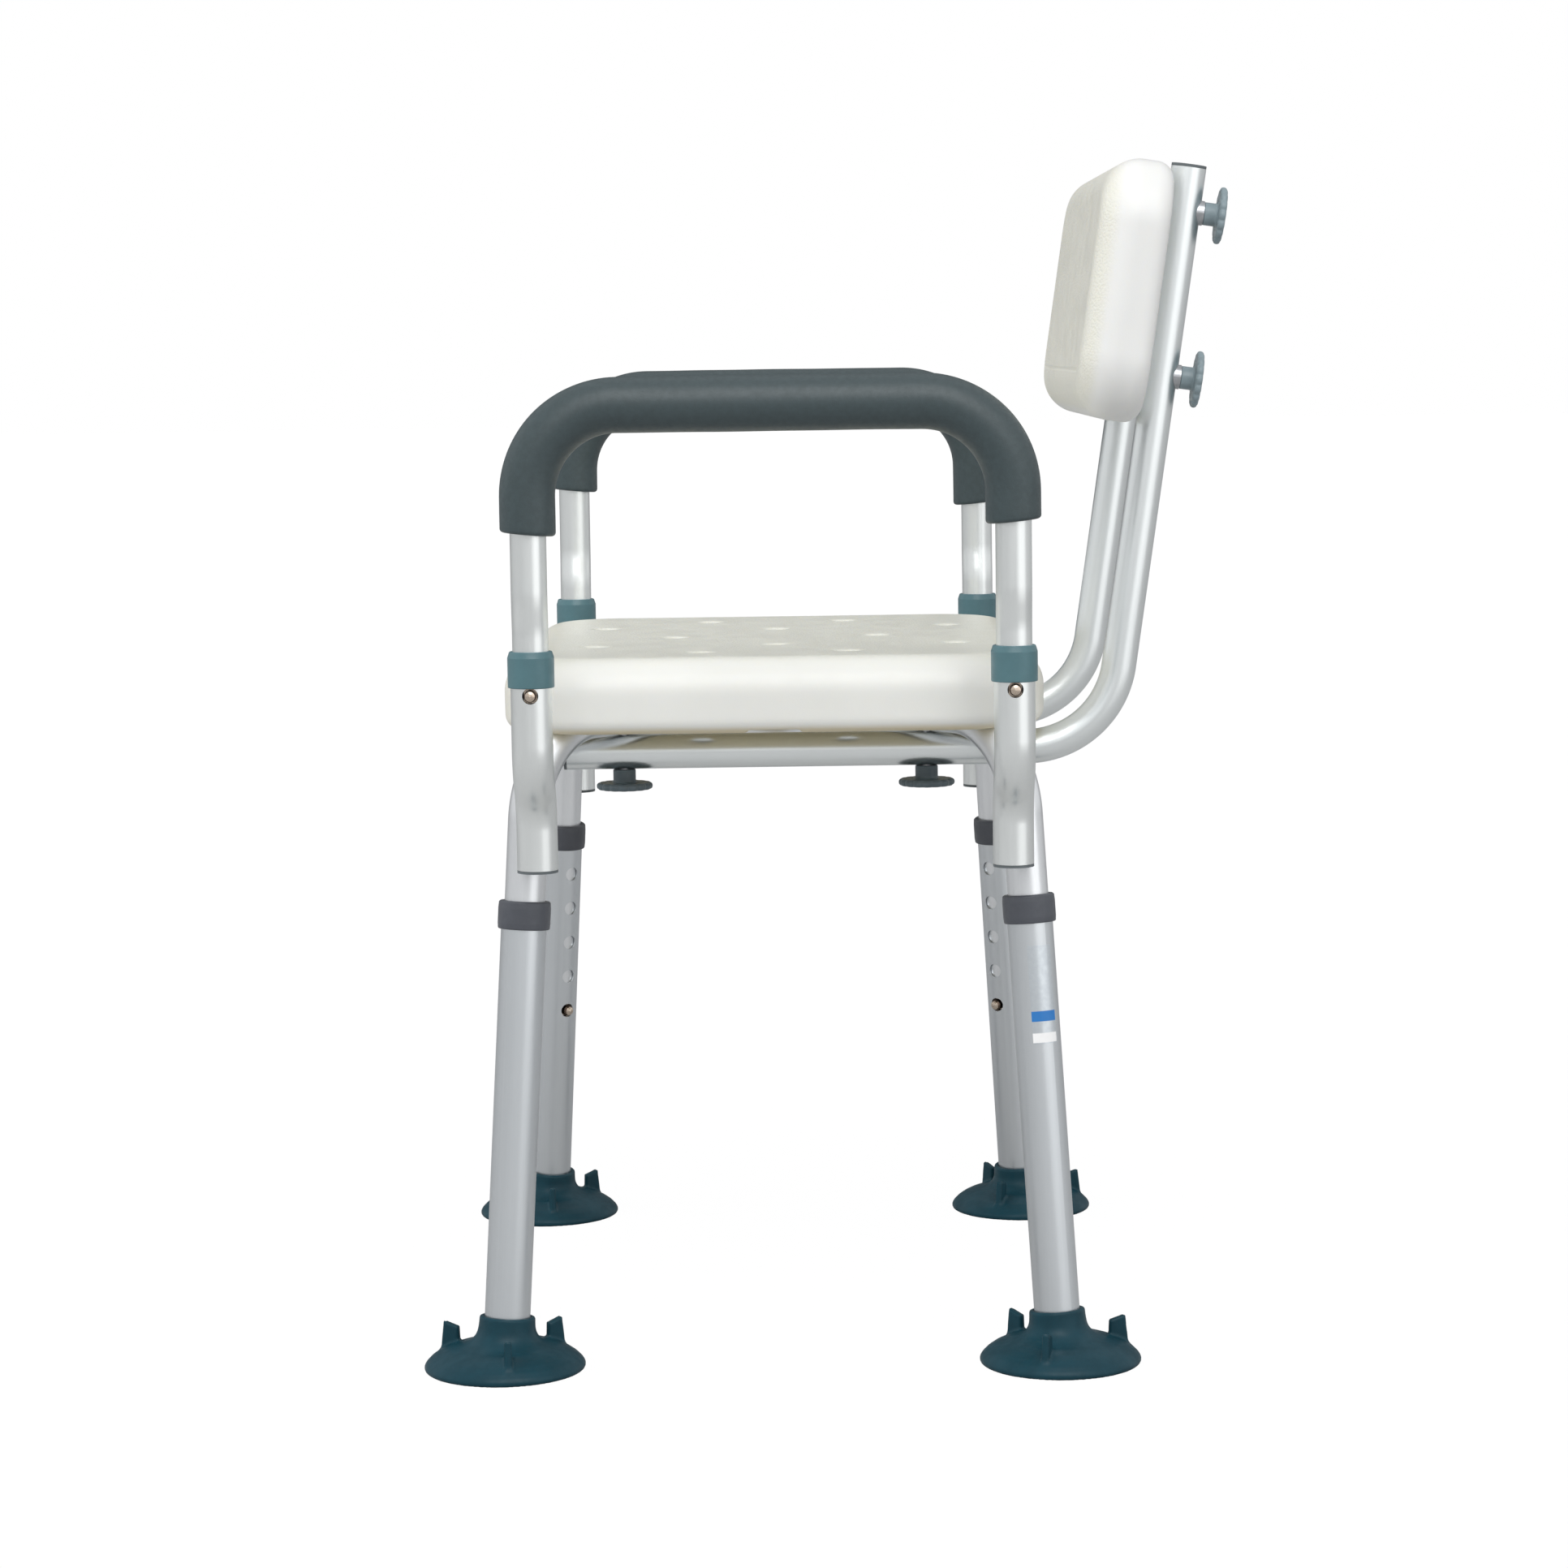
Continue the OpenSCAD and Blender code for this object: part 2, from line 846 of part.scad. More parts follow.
module under_seat(c) {
  translate([c[0] * back_x, seat_y + c[1] * knob_y, back_run_z - bar_r - touch])
    rotate([180, 0, 0])
      children();
}

module behind_back(s, t) {
  on_back()
    translate([s * back_x, bar_r + saddle_t, t])
      rotate([-90, 0, 0])
        children();
}

seat_stud = frame_z + frame_r + insert_h - (back_run_z - bar_r);
back_stud = bar_od + saddle_t + insert_h - 1;

module seat_knob(c) {
  under_seat(c)
    knob_head();
}

module seat_knob_stud(c) {
  under_seat(c)
    stud(seat_stud);
}

module back_knob(s, k) {
  behind_back(s, back_knob_t[k])
    knob_head();
}

module back_knob_stud(s, k) {
  behind_back(s, back_knob_t[k])
    stud(back_stud);
}

// ---------- nodes ----------

seat();
backrest();
leg_frame_tube_a();
leg_frame_tube_b();
frame_cross_bolt();
frame_cross_nut();
socket(CORNERS[0]);  // socket_front_left
socket(CORNERS[1]);  // socket_front_right
socket(CORNERS[2]);  // socket_rear_left
socket(CORNERS[3]);  // socket_rear_right
socket_collars();
socket_end_caps();
socket_rivets();
back_tube(1);  // back_tube_left
back_tube(-1);  // back_tube_right
back_tube_caps();
seat_inserts();
back_inserts();
saddle_washers();
leg_tube(CORNERS[0]);  // leg_tube_front_left
leg_tube(CORNERS[1]);  // leg_tube_front_right
leg_tube(CORNERS[2]);  // leg_tube_rear_left
leg_tube(CORNERS[3]);  // leg_tube_rear_right
leg_collar(CORNERS[0]);  // leg_collar_front_left
leg_collar(CORNERS[1]);  // leg_collar_front_right
leg_collar(CORNERS[2]);  // leg_collar_rear_left
leg_collar(CORNERS[3]);  // leg_collar_rear_right
foot(CORNERS[0], 7);  // foot_front_left
foot(CORNERS[1], 7);  // foot_front_right
foot(CORNERS[2], -16);  // foot_rear_left
foot(CORNERS[3], -25);  // foot_rear_right
leg_label();
leg_button(CORNERS[0]);  // leg_button_front_left
leg_button(CORNERS[1]);  // leg_button_front_right
leg_button(CORNERS[2]);  // leg_button_rear_left
leg_button(CORNERS[3]);  // leg_button_rear_right
armrest_tube(1);  // armrest_tube_left
armrest_tube(-1);  // armrest_tube_right
armrest_grip(1, 524, 528);  // armrest_grip_left
armrest_grip(-1, 532, 519);  // armrest_grip_right
arm_button(CORNERS[0]);  // arm_button_front_left
arm_button(CORNERS[1]);  // arm_button_front_right
arm_button(CORNERS[2]);  // arm_button_rear_left
arm_button(CORNERS[3]);  // arm_button_rear_right
seat_knob(CORNERS[0]);  // seat_knob_front_left
seat_knob(CORNERS[1]);  // seat_knob_front_right
seat_knob(CORNERS[2]);  // seat_knob_rear_left
seat_knob(CORNERS[3]);  // seat_knob_rear_right
back_knob(1, 0);  // back_knob_upper_left
back_knob(-1, 0);  // back_knob_upper_right
back_knob(1, 1);  // back_knob_lower_left
back_knob(-1, 1);  // back_knob_lower_right
seat_knob_stud(CORNERS[0]);  // seat_stud_front_left
seat_knob_stud(CORNERS[1]);  // seat_stud_front_right
seat_knob_stud(CORNERS[2]);  // seat_stud_rear_left
seat_knob_stud(CORNERS[3]);  // seat_stud_rear_right
back_knob_stud(1, 0);  // back_stud_upper_left
back_knob_stud(-1, 0);  // back_stud_upper_right
back_knob_stud(1, 1);  // back_stud_lower_left
back_knob_stud(-1, 1);  // back_stud_lower_right
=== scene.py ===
import math

import bpy
import numpy as np
from mathutils import Matrix, Vector

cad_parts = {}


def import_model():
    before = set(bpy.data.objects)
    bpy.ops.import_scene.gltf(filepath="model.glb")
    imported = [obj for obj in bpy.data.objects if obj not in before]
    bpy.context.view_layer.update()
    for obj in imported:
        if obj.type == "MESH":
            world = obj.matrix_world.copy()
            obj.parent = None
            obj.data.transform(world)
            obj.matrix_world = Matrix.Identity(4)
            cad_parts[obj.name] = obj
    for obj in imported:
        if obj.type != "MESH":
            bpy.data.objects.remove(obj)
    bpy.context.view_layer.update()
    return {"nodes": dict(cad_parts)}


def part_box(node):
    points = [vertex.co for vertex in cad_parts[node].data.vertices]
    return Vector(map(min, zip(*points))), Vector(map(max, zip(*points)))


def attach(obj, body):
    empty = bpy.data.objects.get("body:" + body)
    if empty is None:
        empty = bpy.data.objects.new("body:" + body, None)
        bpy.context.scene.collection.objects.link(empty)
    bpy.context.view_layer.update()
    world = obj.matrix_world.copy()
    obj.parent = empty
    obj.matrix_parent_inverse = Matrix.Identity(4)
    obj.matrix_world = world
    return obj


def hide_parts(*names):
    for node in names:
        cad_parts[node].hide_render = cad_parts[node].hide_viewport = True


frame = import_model()
NODES = frame["nodes"]

MM = 0.001
SIDES = {"left": 1, "right": -1}
CORNERS = {"front_left": (1, -1), "front_right": (-1, -1), "rear_left": (1, 1), "rear_right": (-1, 1)}

# The chair's own sizes, in millimetres, as the CAD has them. In the names, X, Y and Z are places in the
# chair's frame, S is a distance up a leg from the floor, T one up the leaning back tubes, and R a radius.
SEAT_LOW, SEAT_HIGH = (np.array(v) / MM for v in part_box("seat"))
SEAT_Y = (SEAT_LOW[1] + SEAT_HIGH[1]) / 2
CLEARANCE = 0.15
BAR_R, FRAME_R, LEG_R, WALL = 11.1, 12.7, 14.3, 1.3
BUTTON_HOLE_R, STUD_HOLE_R, RIVET_HOLE_R = 4.9, 3.3, 2.45

SPLAY, DIAGONAL, FOOT_REACH = math.radians(5.48), math.radians(36.87), 290.3
FRAME_Z, FRAME_BEND, FRAME_END_S = 401.55, 65, 128
CROSS_DIP, CROSS_HALF, CROSS_SLOPE, CROSS_BEND = 25.8, 30, math.radians(30), 60
LEG_BUTTON_S = 157

SOCKET_X, SOCKET_Y, SOCKET_LOW, SOCKET_TOP = 232.2, 147.4, 314.9, 451
SOCKET_BEND_Z, SOCKET_SLOPE, SOCKET_BEND = 355.9, math.radians(50), 34
RIVET_Z, ARM_BUTTON_Z = (323, 335), 426
ARM_X, GRIP_X, ARM_LOW, ARM_Z, ARM_BEND = 258.8, 262, 396, 601.4, 55
ARM_STEP_Z, ARM_STEP_BEND = (466, 484), 60

LEAN, BACK_FOOT = math.radians(8.3), np.array([0, SEAT_Y + 222.6, 440])
BACK_X, BACK_END_T, BACK_BEND, BACK_RUN_Y = 129.5, 307.5, 60, -134
BACK_RUN_Z = FRAME_Z - FRAME_R - BAR_R - CLEARANCE
BACK_KNOB_T, SEAT_KNOB_Y = {"upper": 279.9, "lower": 175.8}, 97.1


# ---------- meshes ----------

def unit(v):
    return v / np.linalg.norm(v)


def ring_angles(count):
    """Evenly spaced angles of a full turn."""
    return np.linspace(0, 2 * math.pi, count, endpoint=False)


def closed_net(rows, columns):
    """The quads of a grid of points that closes on itself both ways."""
    i, j = np.meshgrid(np.arange(rows), np.arange(columns), indexing="ij")
    i2, j2 = (i + 1) % rows, (j + 1) % columns
    return (np.stack([i, i2, i2, i], -1) * columns + np.stack([j, j, j2, j2], -1)).reshape(-1, 4)


def smooth_min(a, b, k):
    h = np.maximum(k - np.abs(a - b), 0) / k
    return np.minimum(a, b) - h * h * k / 4


def smooth_max(a, b, k):
    return -smooth_min(-a, -b, k)


def gradient(field, p, h=0.02):
    g = np.empty_like(p)
    for k in range(3):
        step = np.zeros(3)
        step[k] = h
        g[:, k] = (field(*(p + step).T) - field(*(p - step).T)) / (2 * h)
    return g


def surface(field, axes, relax=2):
    """Quads where field(x, y, z) is 0. It is negative inside. axes are the three sets of grid lines. The net
    is evened out as many times as relax says, and each time it is put back on the surface."""
    d = field(*np.meshgrid(*axes, indexing="ij"))
    inside, cells = d < 0, np.array(d.shape) - 1
    total, count, quads = np.zeros((cells.prod(), 3)), np.zeros(cells.prod()), []
    for a in range(3):
        b, c = (a + 1) % 3, (a + 2) % 3
        low, high = [slice(None)] * 3, [slice(None)] * 3
        low[a], high[a] = slice(None, -1), slice(1, None)
        i = np.argwhere(inside[tuple(low)] != inside[tuple(high)])
        j = i.copy()
        j[:, a] += 1
        d0, d1 = d[tuple(i.T)], d[tuple(j.T)]
        p = np.stack([axes[k][i[:, k]] for k in range(3)], 1).astype(float)
        p[:, a] += d0 / (d0 - d1) * (axes[a][j[:, a]] - axes[a][i[:, a]])
        around = []
        for ob, oc in ((0, 0), (-1, 0), (-1, -1), (0, -1)):
            cell = i.copy()
            cell[:, b] += ob
            cell[:, c] += oc
            flat = np.ravel_multi_index(cell.T, cells)
            around.append(flat)
            count += np.bincount(flat, minlength=len(count))
            for k in range(3):
                total[:, k] += np.bincount(flat, p[:, k], len(count))
        around = np.stack(around, 1)
        around[d0 > 0] = around[d0 > 0][:, ::-1]
        quads.append(around)
    used = np.flatnonzero(count)
    index = np.zeros(len(count), int)
    index[used] = np.arange(len(used))
    quads = index[np.concatenate(quads)]
    p = total[used] / count[used, None]
    reach = min(np.diff(a).max() for a in axes)

    def project(p, times):
        for _ in range(times):
            g = gradient(field, p)
            move = (field(*p.T) / np.maximum((g * g).sum(1), 0.2))[:, None] * g
            size = np.linalg.norm(move, axis=1, keepdims=True)
            p = p - move * np.minimum(1, reach / np.maximum(size, 1e-9))
        return p

    p = project(p, 2)
    for _ in range(relax):
        mean, n = np.zeros_like(p), np.zeros(len(p))
        for u, v in ((0, 1), (1, 2), (2, 3), (3, 0)):
            for s, t in ((u, v), (v, u)):
                n += np.bincount(quads[:, s], minlength=len(p))
                for k in range(3):
                    mean[:, k] += np.bincount(quads[:, s], p[quads[:, t], k], len(p))
        p = project((p + mean / n[:, None]) / 2, 2)
    return p, quads


def lines(low, high, step):
    return np.linspace(low, high, max(2, int(round((high - low) / step)) + 1))


def as_mesh(name, mesh):
    """A smooth-shaded mesh from points in mm and faces."""
    points, faces = mesh
    data = bpy.data.meshes.new(name)
    data.from_pydata((np.asarray(points) * MM).tolist(), [], [list(f) for f in faces])
    data.update()
    data.shade_smooth()
    return data


def piece(name, mesh, material, body, *nodes, place=None, weighted=False):
    """A new object that stands for those CAD nodes, from a ready mesh or from (points in mm, faces). place
    moves it, and weighted keeps its flat faces flat next to rounded edges."""
    data = mesh if isinstance(mesh, bpy.types.Mesh) else as_mesh(name, mesh)
    data.name = name
    if place is not None:
        data.transform(place)
        data.update()
    data.materials.append(material)
    ob = bpy.data.objects.new(name, data)
    bpy.context.scene.collection.objects.link(ob)
    if weighted:
        ob.modifiers.new("normals", "WEIGHTED_NORMAL").weight = 100
    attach(ob, body)
    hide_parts(*nodes)
    return ob


def rounded(corners, parts=5):
    """The closed outline with its corners rounded. Each corner is (radius, height, its own rounding)."""
    nearly_straight, longest_cut = 1.55, 0.48
    out, n = [], len(corners)
    for i, c in enumerate(corners):
        p, a, b = (np.array(corners[k % n][:2], float) for k in (i, i - 1, i + 1))
        r = c[2]
        u, v = a - p, b - p
        lu, lv = np.linalg.norm(u), np.linalg.norm(v)
        u, v = u / lu, v / lv
        half = math.acos(np.clip(u @ v, -1, 1)) / 2
        if half > nearly_straight:
            out.append(p)
            continue
        cut = min(r / math.tan(half), longest_cut * lu, longest_cut * lv)
        r = cut * math.tan(half)
        mid = p + (u + v) / np.linalg.norm(u + v) * r / math.sin(half)
        s, e = p + u * cut - mid, p + v * cut - mid
        turn = math.atan2(s[0] * e[1] - s[1] * e[0], s @ e)
        for k in range(parts + 1):
            cos, sin = math.cos(turn * k / parts), math.sin(turn * k / parts)
            out.append(mid + [s[0] * cos - s[1] * sin, s[0] * sin + s[1] * cos])
    return out


def lathe(outline, around=96):
    """A solid of revolution round Z from a closed outline of (radius, height), with no point on the axis."""
    out = np.array(outline, float)
    area = (out[:, 0] * np.roll(out[:, 1], -1) - out[:, 1] * np.roll(out[:, 0], -1)).sum()
    if area < 0:
        out = out[::-1]
    turn = ring_angles(around)
    points = np.stack([np.outer(np.cos(turn), out[:, 0]), np.outer(np.sin(turn), out[:, 0]),
                       np.tile(out[:, 1], (around, 1))], -1).reshape(-1, 3)
    return points, closed_net(around, len(out))


def route(corners, bends):
    """Points and directions along straight lines that are joined by true bends of those radii."""
    p = [np.array(c, float) for c in corners]
    points, ways = [p[0]], [unit(p[1] - p[0])]
    for i, bend in enumerate(bends, 1):
        a, c = unit(p[i] - p[i - 1]), unit(p[i + 1] - p[i])
        turn = math.acos(a @ c)
        mid = p[i] + unit(c - a) * bend / math.cos(turn / 2)
        e = p[i] - a * bend * math.tan(turn / 2) - mid
        count = max(8, int(bend * turn / 2))
        for t in np.linspace(0, turn, count + 1):
            points.append(mid + e * math.cos(t) + a * bend * math.sin(t))
            ways.append(a * math.cos(t) - e / bend * math.sin(t))
    return np.array(points + [p[-1]]), np.array(ways + [unit(p[-1] - p[-2])])


ANY_WAY = (0.36, 0.48, 0.8)  # a direction that no tube or hole has


def circle(way, side, around):
    """A ring of points of radius 1 round the direction way, from the direction side on."""
    turn = ring_angles(around)[:, None]
    return np.cos(turn) * side + np.sin(turn) * np.cross(way, side)


def cylinder(start, end, r, around=48):
    """A closed cylinder, as (points, faces)."""
    way = unit(np.subtract(end, start))
    ring = r * circle(way, unit(np.cross(way, ANY_WAY)), around)
    points = np.concatenate([ring + start, ring + end])
    faces = [(j, (j + 1) % around, around + (j + 1) % around, around + j) for j in range(around)]
    return points, [*faces, tuple(range(around))[::-1], tuple(range(around, 2 * around))]


def bent_tube(name, corners, bends, outer, holes, around=80):
    """A drawn tube with its ends' edges broken and round holes (start, end, radius) cut in its wall."""
    path, ways = route(corners, bends)
    side = unit(np.cross(ways[0], ANY_WAY))
    rings = []
    for way in ways:
        side = unit(side - (side @ way) * way)
        rings.append(circle(way, side, around))
    # rows of points as (place on the path, radius, shift along it): out round one end, back inside the bore
    inner, lip, last = outer - WALL, 0.25, len(path) - 1
    rows = [(0, inner, 0), (0, outer - lip, 0), (0, outer, lip), *((k, outer, 0) for k in range(1, last)),
            (last, outer, -lip), (last, outer - lip, 0), (last, inner, 0)]
    rows += [(k, inner, 0) for k in range(last - 1, 0, -1)]
    points = np.concatenate([path[k] + ways[k] * shift + r * rings[k] for k, r, shift in rows])
    data = as_mesh(name, (points, closed_net(len(rows), around)[:, [0, 3, 2, 1]]))
    cutters, faces, count = [], [], 0
    for hole in holes:
        q, f = cylinder(*hole)
        cutters.append(q)
        faces += [tuple(v + count for v in face) for face in f]
        count += len(q)
    meshes = data, as_mesh("cut", (np.concatenate(cutters), faces))
    work = [bpy.data.objects.new("work", mesh) for mesh in meshes]
    for ob in work:
        bpy.context.scene.collection.objects.link(ob)
    cut = work[0].modifiers.new("cut", "BOOLEAN")
    cut.operation, cut.solver, cut.object = "DIFFERENCE", "EXACT", work[1]
    data = bpy.data.meshes.new_from_object(work[0].evaluated_get(bpy.context.evaluated_depsgraph_get()))
    for ob in work:
        bpy.data.meshes.remove(ob.data)
    data.materials.clear()
    round_normals(data, path, ways)
    return data


def round_normals(data, path, ways):
    """Gives the tube's outer and inner walls exactly round normals, and flat ones to all other faces."""
    wall_facing = 0.9
    v = np.empty(len(data.vertices) * 3)
    data.vertices.foreach_get("co", v)
    v = v.reshape(-1, 3) / MM
    best, out = np.full(len(v), 1e9), np.zeros_like(v)
    for k in range(len(path) - 1):
        run = path[k + 1] - path[k]
        t = np.clip((v - path[k]) @ run / (run @ run), 0, 1)[:, None]
        off = v - path[k] - t * run
        way = ways[k] * (1 - t) + ways[k + 1] * t
        way /= np.linalg.norm(way, axis=1, keepdims=True)
        off -= (off * way).sum(1, keepdims=True) * way
        near = np.linalg.norm(v - path[k] - t * run, axis=1)
        closer = near < best - 1e-6
        best[closer], out[closer] = near[closer], off[closer]
    out /= np.linalg.norm(out, axis=1, keepdims=True)
    normals = np.empty((len(data.loops), 3))
    for face in data.polygons:
        flat, radial = np.array(face.normal), out[list(face.vertices)]
        facing = (radial @ flat).mean()
        loops = slice(face.loop_start, face.loop_start + face.loop_total)
        normals[loops] = radial * np.sign(facing) if abs(facing) > wall_facing else flat
    data.shade_smooth()
    data.normals_split_custom_set(normals.tolist())
    data.update()


def outward(c):
    """The angle from +X of the way from the chair's middle to the leg in corner c."""
    return math.atan2(c[1] * math.sin(DIAGONAL), c[0] * math.cos(DIAGONAL))


def shifted(x, y, z):
    """A shift in millimetres."""
    return Matrix.Translation(Vector((x, y, z)) * MM)


def turned(axis, angle):
    return Matrix.Rotation(angle, 4, axis)


def over_diagonal(c, reach):
    """x and y at that distance from the chair's middle, towards the leg in corner c."""
    return c[0] * reach * math.cos(DIAGONAL), SEAT_Y + c[1] * reach * math.sin(DIAGONAL)


def leg_frame(c):
    """Local Z runs up the leg from the floor, and local X points away from the chair's middle."""
    return shifted(*over_diagonal(c, FOOT_REACH), 0) @ turned("Z", outward(c)) @ turned("Y", -SPLAY)


# local X across, Y to the rear and Z up the back tubes
BACK_FRAME = shifted(*BACK_FOOT) @ turned("X", -LEAN)


# ---------- materials ----------

class Nodes:
    """A short way to write the node tree of a material or a world."""

    def __init__(self, owner):
        owner.use_nodes = True
        self.tree = owner.node_tree
        self.tree.nodes.clear()

    def add(self, kind, **settings):
        node = self.tree.nodes.new(kind)
        for key, value in settings.items():
            setattr(node, key, value)
        return node

    def feed(self, socket, value):
        """Links the socket to another one, or sets it to a number or a colour."""
        if isinstance(value, bpy.types.NodeSocket):
            self.tree.links.new(value, socket)
        else:
            socket.default_value = value

    def math(self, kind, a, b=0.0):
        node = self.add("ShaderNodeMath", operation=kind)
        for socket, value in zip(node.inputs, (a, b)):
            self.feed(socket, value)
        return node.outputs[0]

    def ramp(self, value, low, high, to_low=0.0, to_high=1.0):
        """A smooth step from to_low to to_high, while value goes from low to high."""
        node = self.add("ShaderNodeMapRange", interpolation_type="SMOOTHSTEP")
        for socket, v in zip(node.inputs, (value, low, high, to_low, to_high)):
            self.feed(socket, v)
        return node.outputs["Result"]

    def mix(self, share, a, b):
        """Colour a where share is 0, and b where it is 1."""
        node = self.add("ShaderNodeMix", data_type="RGBA")
        for index, v in zip((0, 6, 7), (share, a, b)):
            self.feed(node.inputs[index], (*v, 1) if isinstance(v, tuple) else v)
        return node.outputs[2]

    def blend(self, share, a, b):
        """Shader a where share is 0, and b where it is 1."""
        node = self.add("ShaderNodeMixShader")
        for socket, value in zip(node.inputs, (share, a, b)):
            self.feed(socket, value)
        return node.outputs[0]

    def xyz(self, source):
        node = self.add("ShaderNodeSeparateXYZ")
        self.feed(node.inputs[0], source)
        return node.outputs


class Look(Nodes):
    """A material whose patterns lie on the object's own coordinates, in metres."""

    def __init__(self, name):
        self.material = bpy.data.materials.new(name)
        super().__init__(self.material)
        self.shader, self.output = self.add("ShaderNodeBsdfPrincipled"), self.add("ShaderNodeOutputMaterial")
        self.feed(self.output.inputs[0], self.shader.outputs[0])
        self.where = self.add("ShaderNodeTexCoord").outputs["Object"]

    def set(self, **sockets):
        for key, value in sockets.items():
            self.feed(self.shader.inputs[key.replace("_", " ")], value)

    def place(self, axis):
        """The object's own x, y or z in metres, for axis 0, 1 or 2."""
        return self.xyz(self.where)[axis]

    def put(self, kind, **sockets):
        """A new node with those inputs."""
        node = self.add(kind)
        for key, value in sockets.items():
            self.feed(node.inputs[key], value)
        return node

    def moved(self, scale=(1, 1, 1), turn=(0, 0, 0), at=(0, 0, 0), source=None):
        return self.put("ShaderNodeMapping", Scale=scale, Rotation=turn, Location=at,
                        Vector=source or self.where).outputs[0]

    def noise(self, scale, detail=3.0, where=None, rough=0.5):
        return self.put("ShaderNodeTexNoise", Scale=scale, Detail=detail, Roughness=rough,
                        Vector=where or self.where).outputs["Fac"]

    def cells(self, scale):
        return self.put("ShaderNodeTexVoronoi", Scale=scale, Vector=self.where).outputs["Distance"]

    def bump(self, height, depth):
        return self.put("ShaderNodeBump", Strength=1, Distance=depth, Height=height).outputs[0]


def srgb(*colour):
    """The linear colour of a screen colour with parts from 0 to 255."""
    parts = (v / 255 for v in colour)
    return tuple(c / 12.92 if c <= 0.04045 else ((c + 0.055) / 1.055) ** 2.4 for c in parts)


def shade(colour, factor):
    return tuple(min(1, c * factor) for c in colour)


def cream_plastic(name, pebbled, dull, clean, underside_shade=None, ends=None):
    """Blow-moulded polyethylene: satin skin in the colour clean, with a fine pebble grain in the colour dull
    where pebbled(look) is 1; dull is darker partly for the grain and partly as painted shade. The seat also
    has painted shade: a darker, warmer colour on its underside and one towards its front and rear."""
    n = Look(name)
    cloud = n.noise(9, 4)
    smooth = n.mix(n.ramp(cloud, 0.35, 0.65), srgb(*clean), shade(srgb(*clean), 0.96))
    where = pebbled(n)
    # the pebbled places take the darker colour dull: partly the grain's own look, partly painted shade on the
    # seat's top and the backrest's front
    colour = n.mix(where, smooth, srgb(*dull))
    if underside_shade and ends:
        bottom = SEAT_LOW[2] * MM
        # painted shade: the seat's underside gets a darker, warmer cream, as the plastic looks in shade
        colour = n.mix(n.ramp(n.place(2), bottom + 0.001, bottom + 0.006, 1, 0), colour, srgb(*underside_shade))
        # painted shade: towards its front and rear ends the seat is darkened and warmed, as shade near the
        # tubes
        colour = n.mix(n.ramp(from_seat_middle(n), 0.12, 0.18, 0, 0.5), colour, srgb(*ends))
    n.set(Base_Color=colour)
    grain = n.noise(1150, 2)
    pebble = n.math("MULTIPLY", n.ramp(n.cells(620), 0.1, 0.75), where)
    height = n.math("ADD", n.math("MULTIPLY", grain, 0.25), pebble)
    n.set(Roughness=n.ramp(n.noise(60, 3), 0.3, 0.7, 0.34, 0.44), IOR=1.5)
    n.set(Normal=n.bump(height, 0.00016))
    n.set(Subsurface_Weight=0.22, Subsurface_Radius=(1.0, 0.85, 0.6), Subsurface_Scale=0.006)
    return n.material


def aluminium(name, frames, tone, rough, low_rough=1.0):
    """Satin anodised tube with drawn lines along local Z. frames has one matrix, or two and the heights in
    metres between which the first gives way to the second. Under the seat, low_rough scales the roughness."""
    n = Look(name)
    streaks = []
    for matrix in frames[:2]:
        along = n.moved(turn=tuple(matrix.to_3x3().inverted().to_euler()))
        fine = n.noise(1, 3, n.moved((2400, 2400, 14), source=along))
        broad = n.noise(1, 2, n.moved((420, 420, 5), source=along))
        streaks.append(n.math("ADD", n.math("MULTIPLY", fine, 0.6), n.math("MULTIPLY", broad, 0.4)))
    streak = streaks[0]
    if len(streaks) > 1:
        share = n.ramp(n.place(2), *frames[2:])
        streak = n.math("ADD", n.math("MULTIPLY", streaks[0], n.math("SUBTRACT", 1.0, share)),
                        n.math("MULTIPLY", streaks[1], share))
    haze = n.noise(14, 3)
    tint = n.mix(n.ramp(haze, 0.3, 0.75), srgb(*tone), shade(srgb(*tone), 0.97))
    n.set(Base_Color=n.mix(n.ramp(streak, 0.3, 0.7, 0, 0.25), tint, shade(srgb(*tone), 0.88)))
    dull = n.math("ADD", n.ramp(streak, 0.25, 0.75, *rough), n.ramp(haze, 0.3, 0.8, 0, 0.02))
    n.set(Metallic=1.0, Roughness=n.math("MULTIPLY", dull, n.ramp(n.place(2), 0.385, 0.42, low_rough, 1.0)))
    n.set(Normal=n.bump(streak, 0.000005))
    return n.material


def soft_plastic(name, colour, rough=0.42, grain=900, depth=0.00003, vary=0.85, shine=0.5):
    """Moulded plastic or rubber with a fine grain. vary darkens its clouds. shine is its specular level."""
    n = Look(name)
    cloud = n.noise(70, 5, rough=0.6)
    n.set(Base_Color=n.mix(n.ramp(cloud, 0.3, 0.7), colour, shade(colour, vary)))
    n.set(Roughness=n.ramp(n.noise(140, 4), 0.3, 0.7, rough - 0.05, rough + 0.07), IOR=1.48)
    n.set(Normal=n.bump(n.noise(grain, 3), depth))
    n.set(Specular_IOR_Level=shine)
    return n.material


def foam():
    """Closed-cell foam rubber: tiny open pores in a slightly leathery skin."""
    n = Look("foam_rubber")
    pores = n.ramp(n.cells(1500), 0.0, 0.42)
    skin = n.noise(240, 4, rough=0.6)
    colour = srgb(58, 71, 74)
    tone = n.mix(n.ramp(skin, 0.3, 0.7), colour, shade(colour, 0.86))
    n.set(Base_Color=n.mix(pores, shade(colour, 0.75), tone))
    n.set(Roughness=n.ramp(skin, 0.25, 0.75, 0.4, 0.48), Specular_IOR_Level=0.5)
    height = n.math("ADD", pores, n.math("MULTIPLY", skin, 1.6))
    n.set(Normal=n.bump(height, 0.00004))
    return n.material


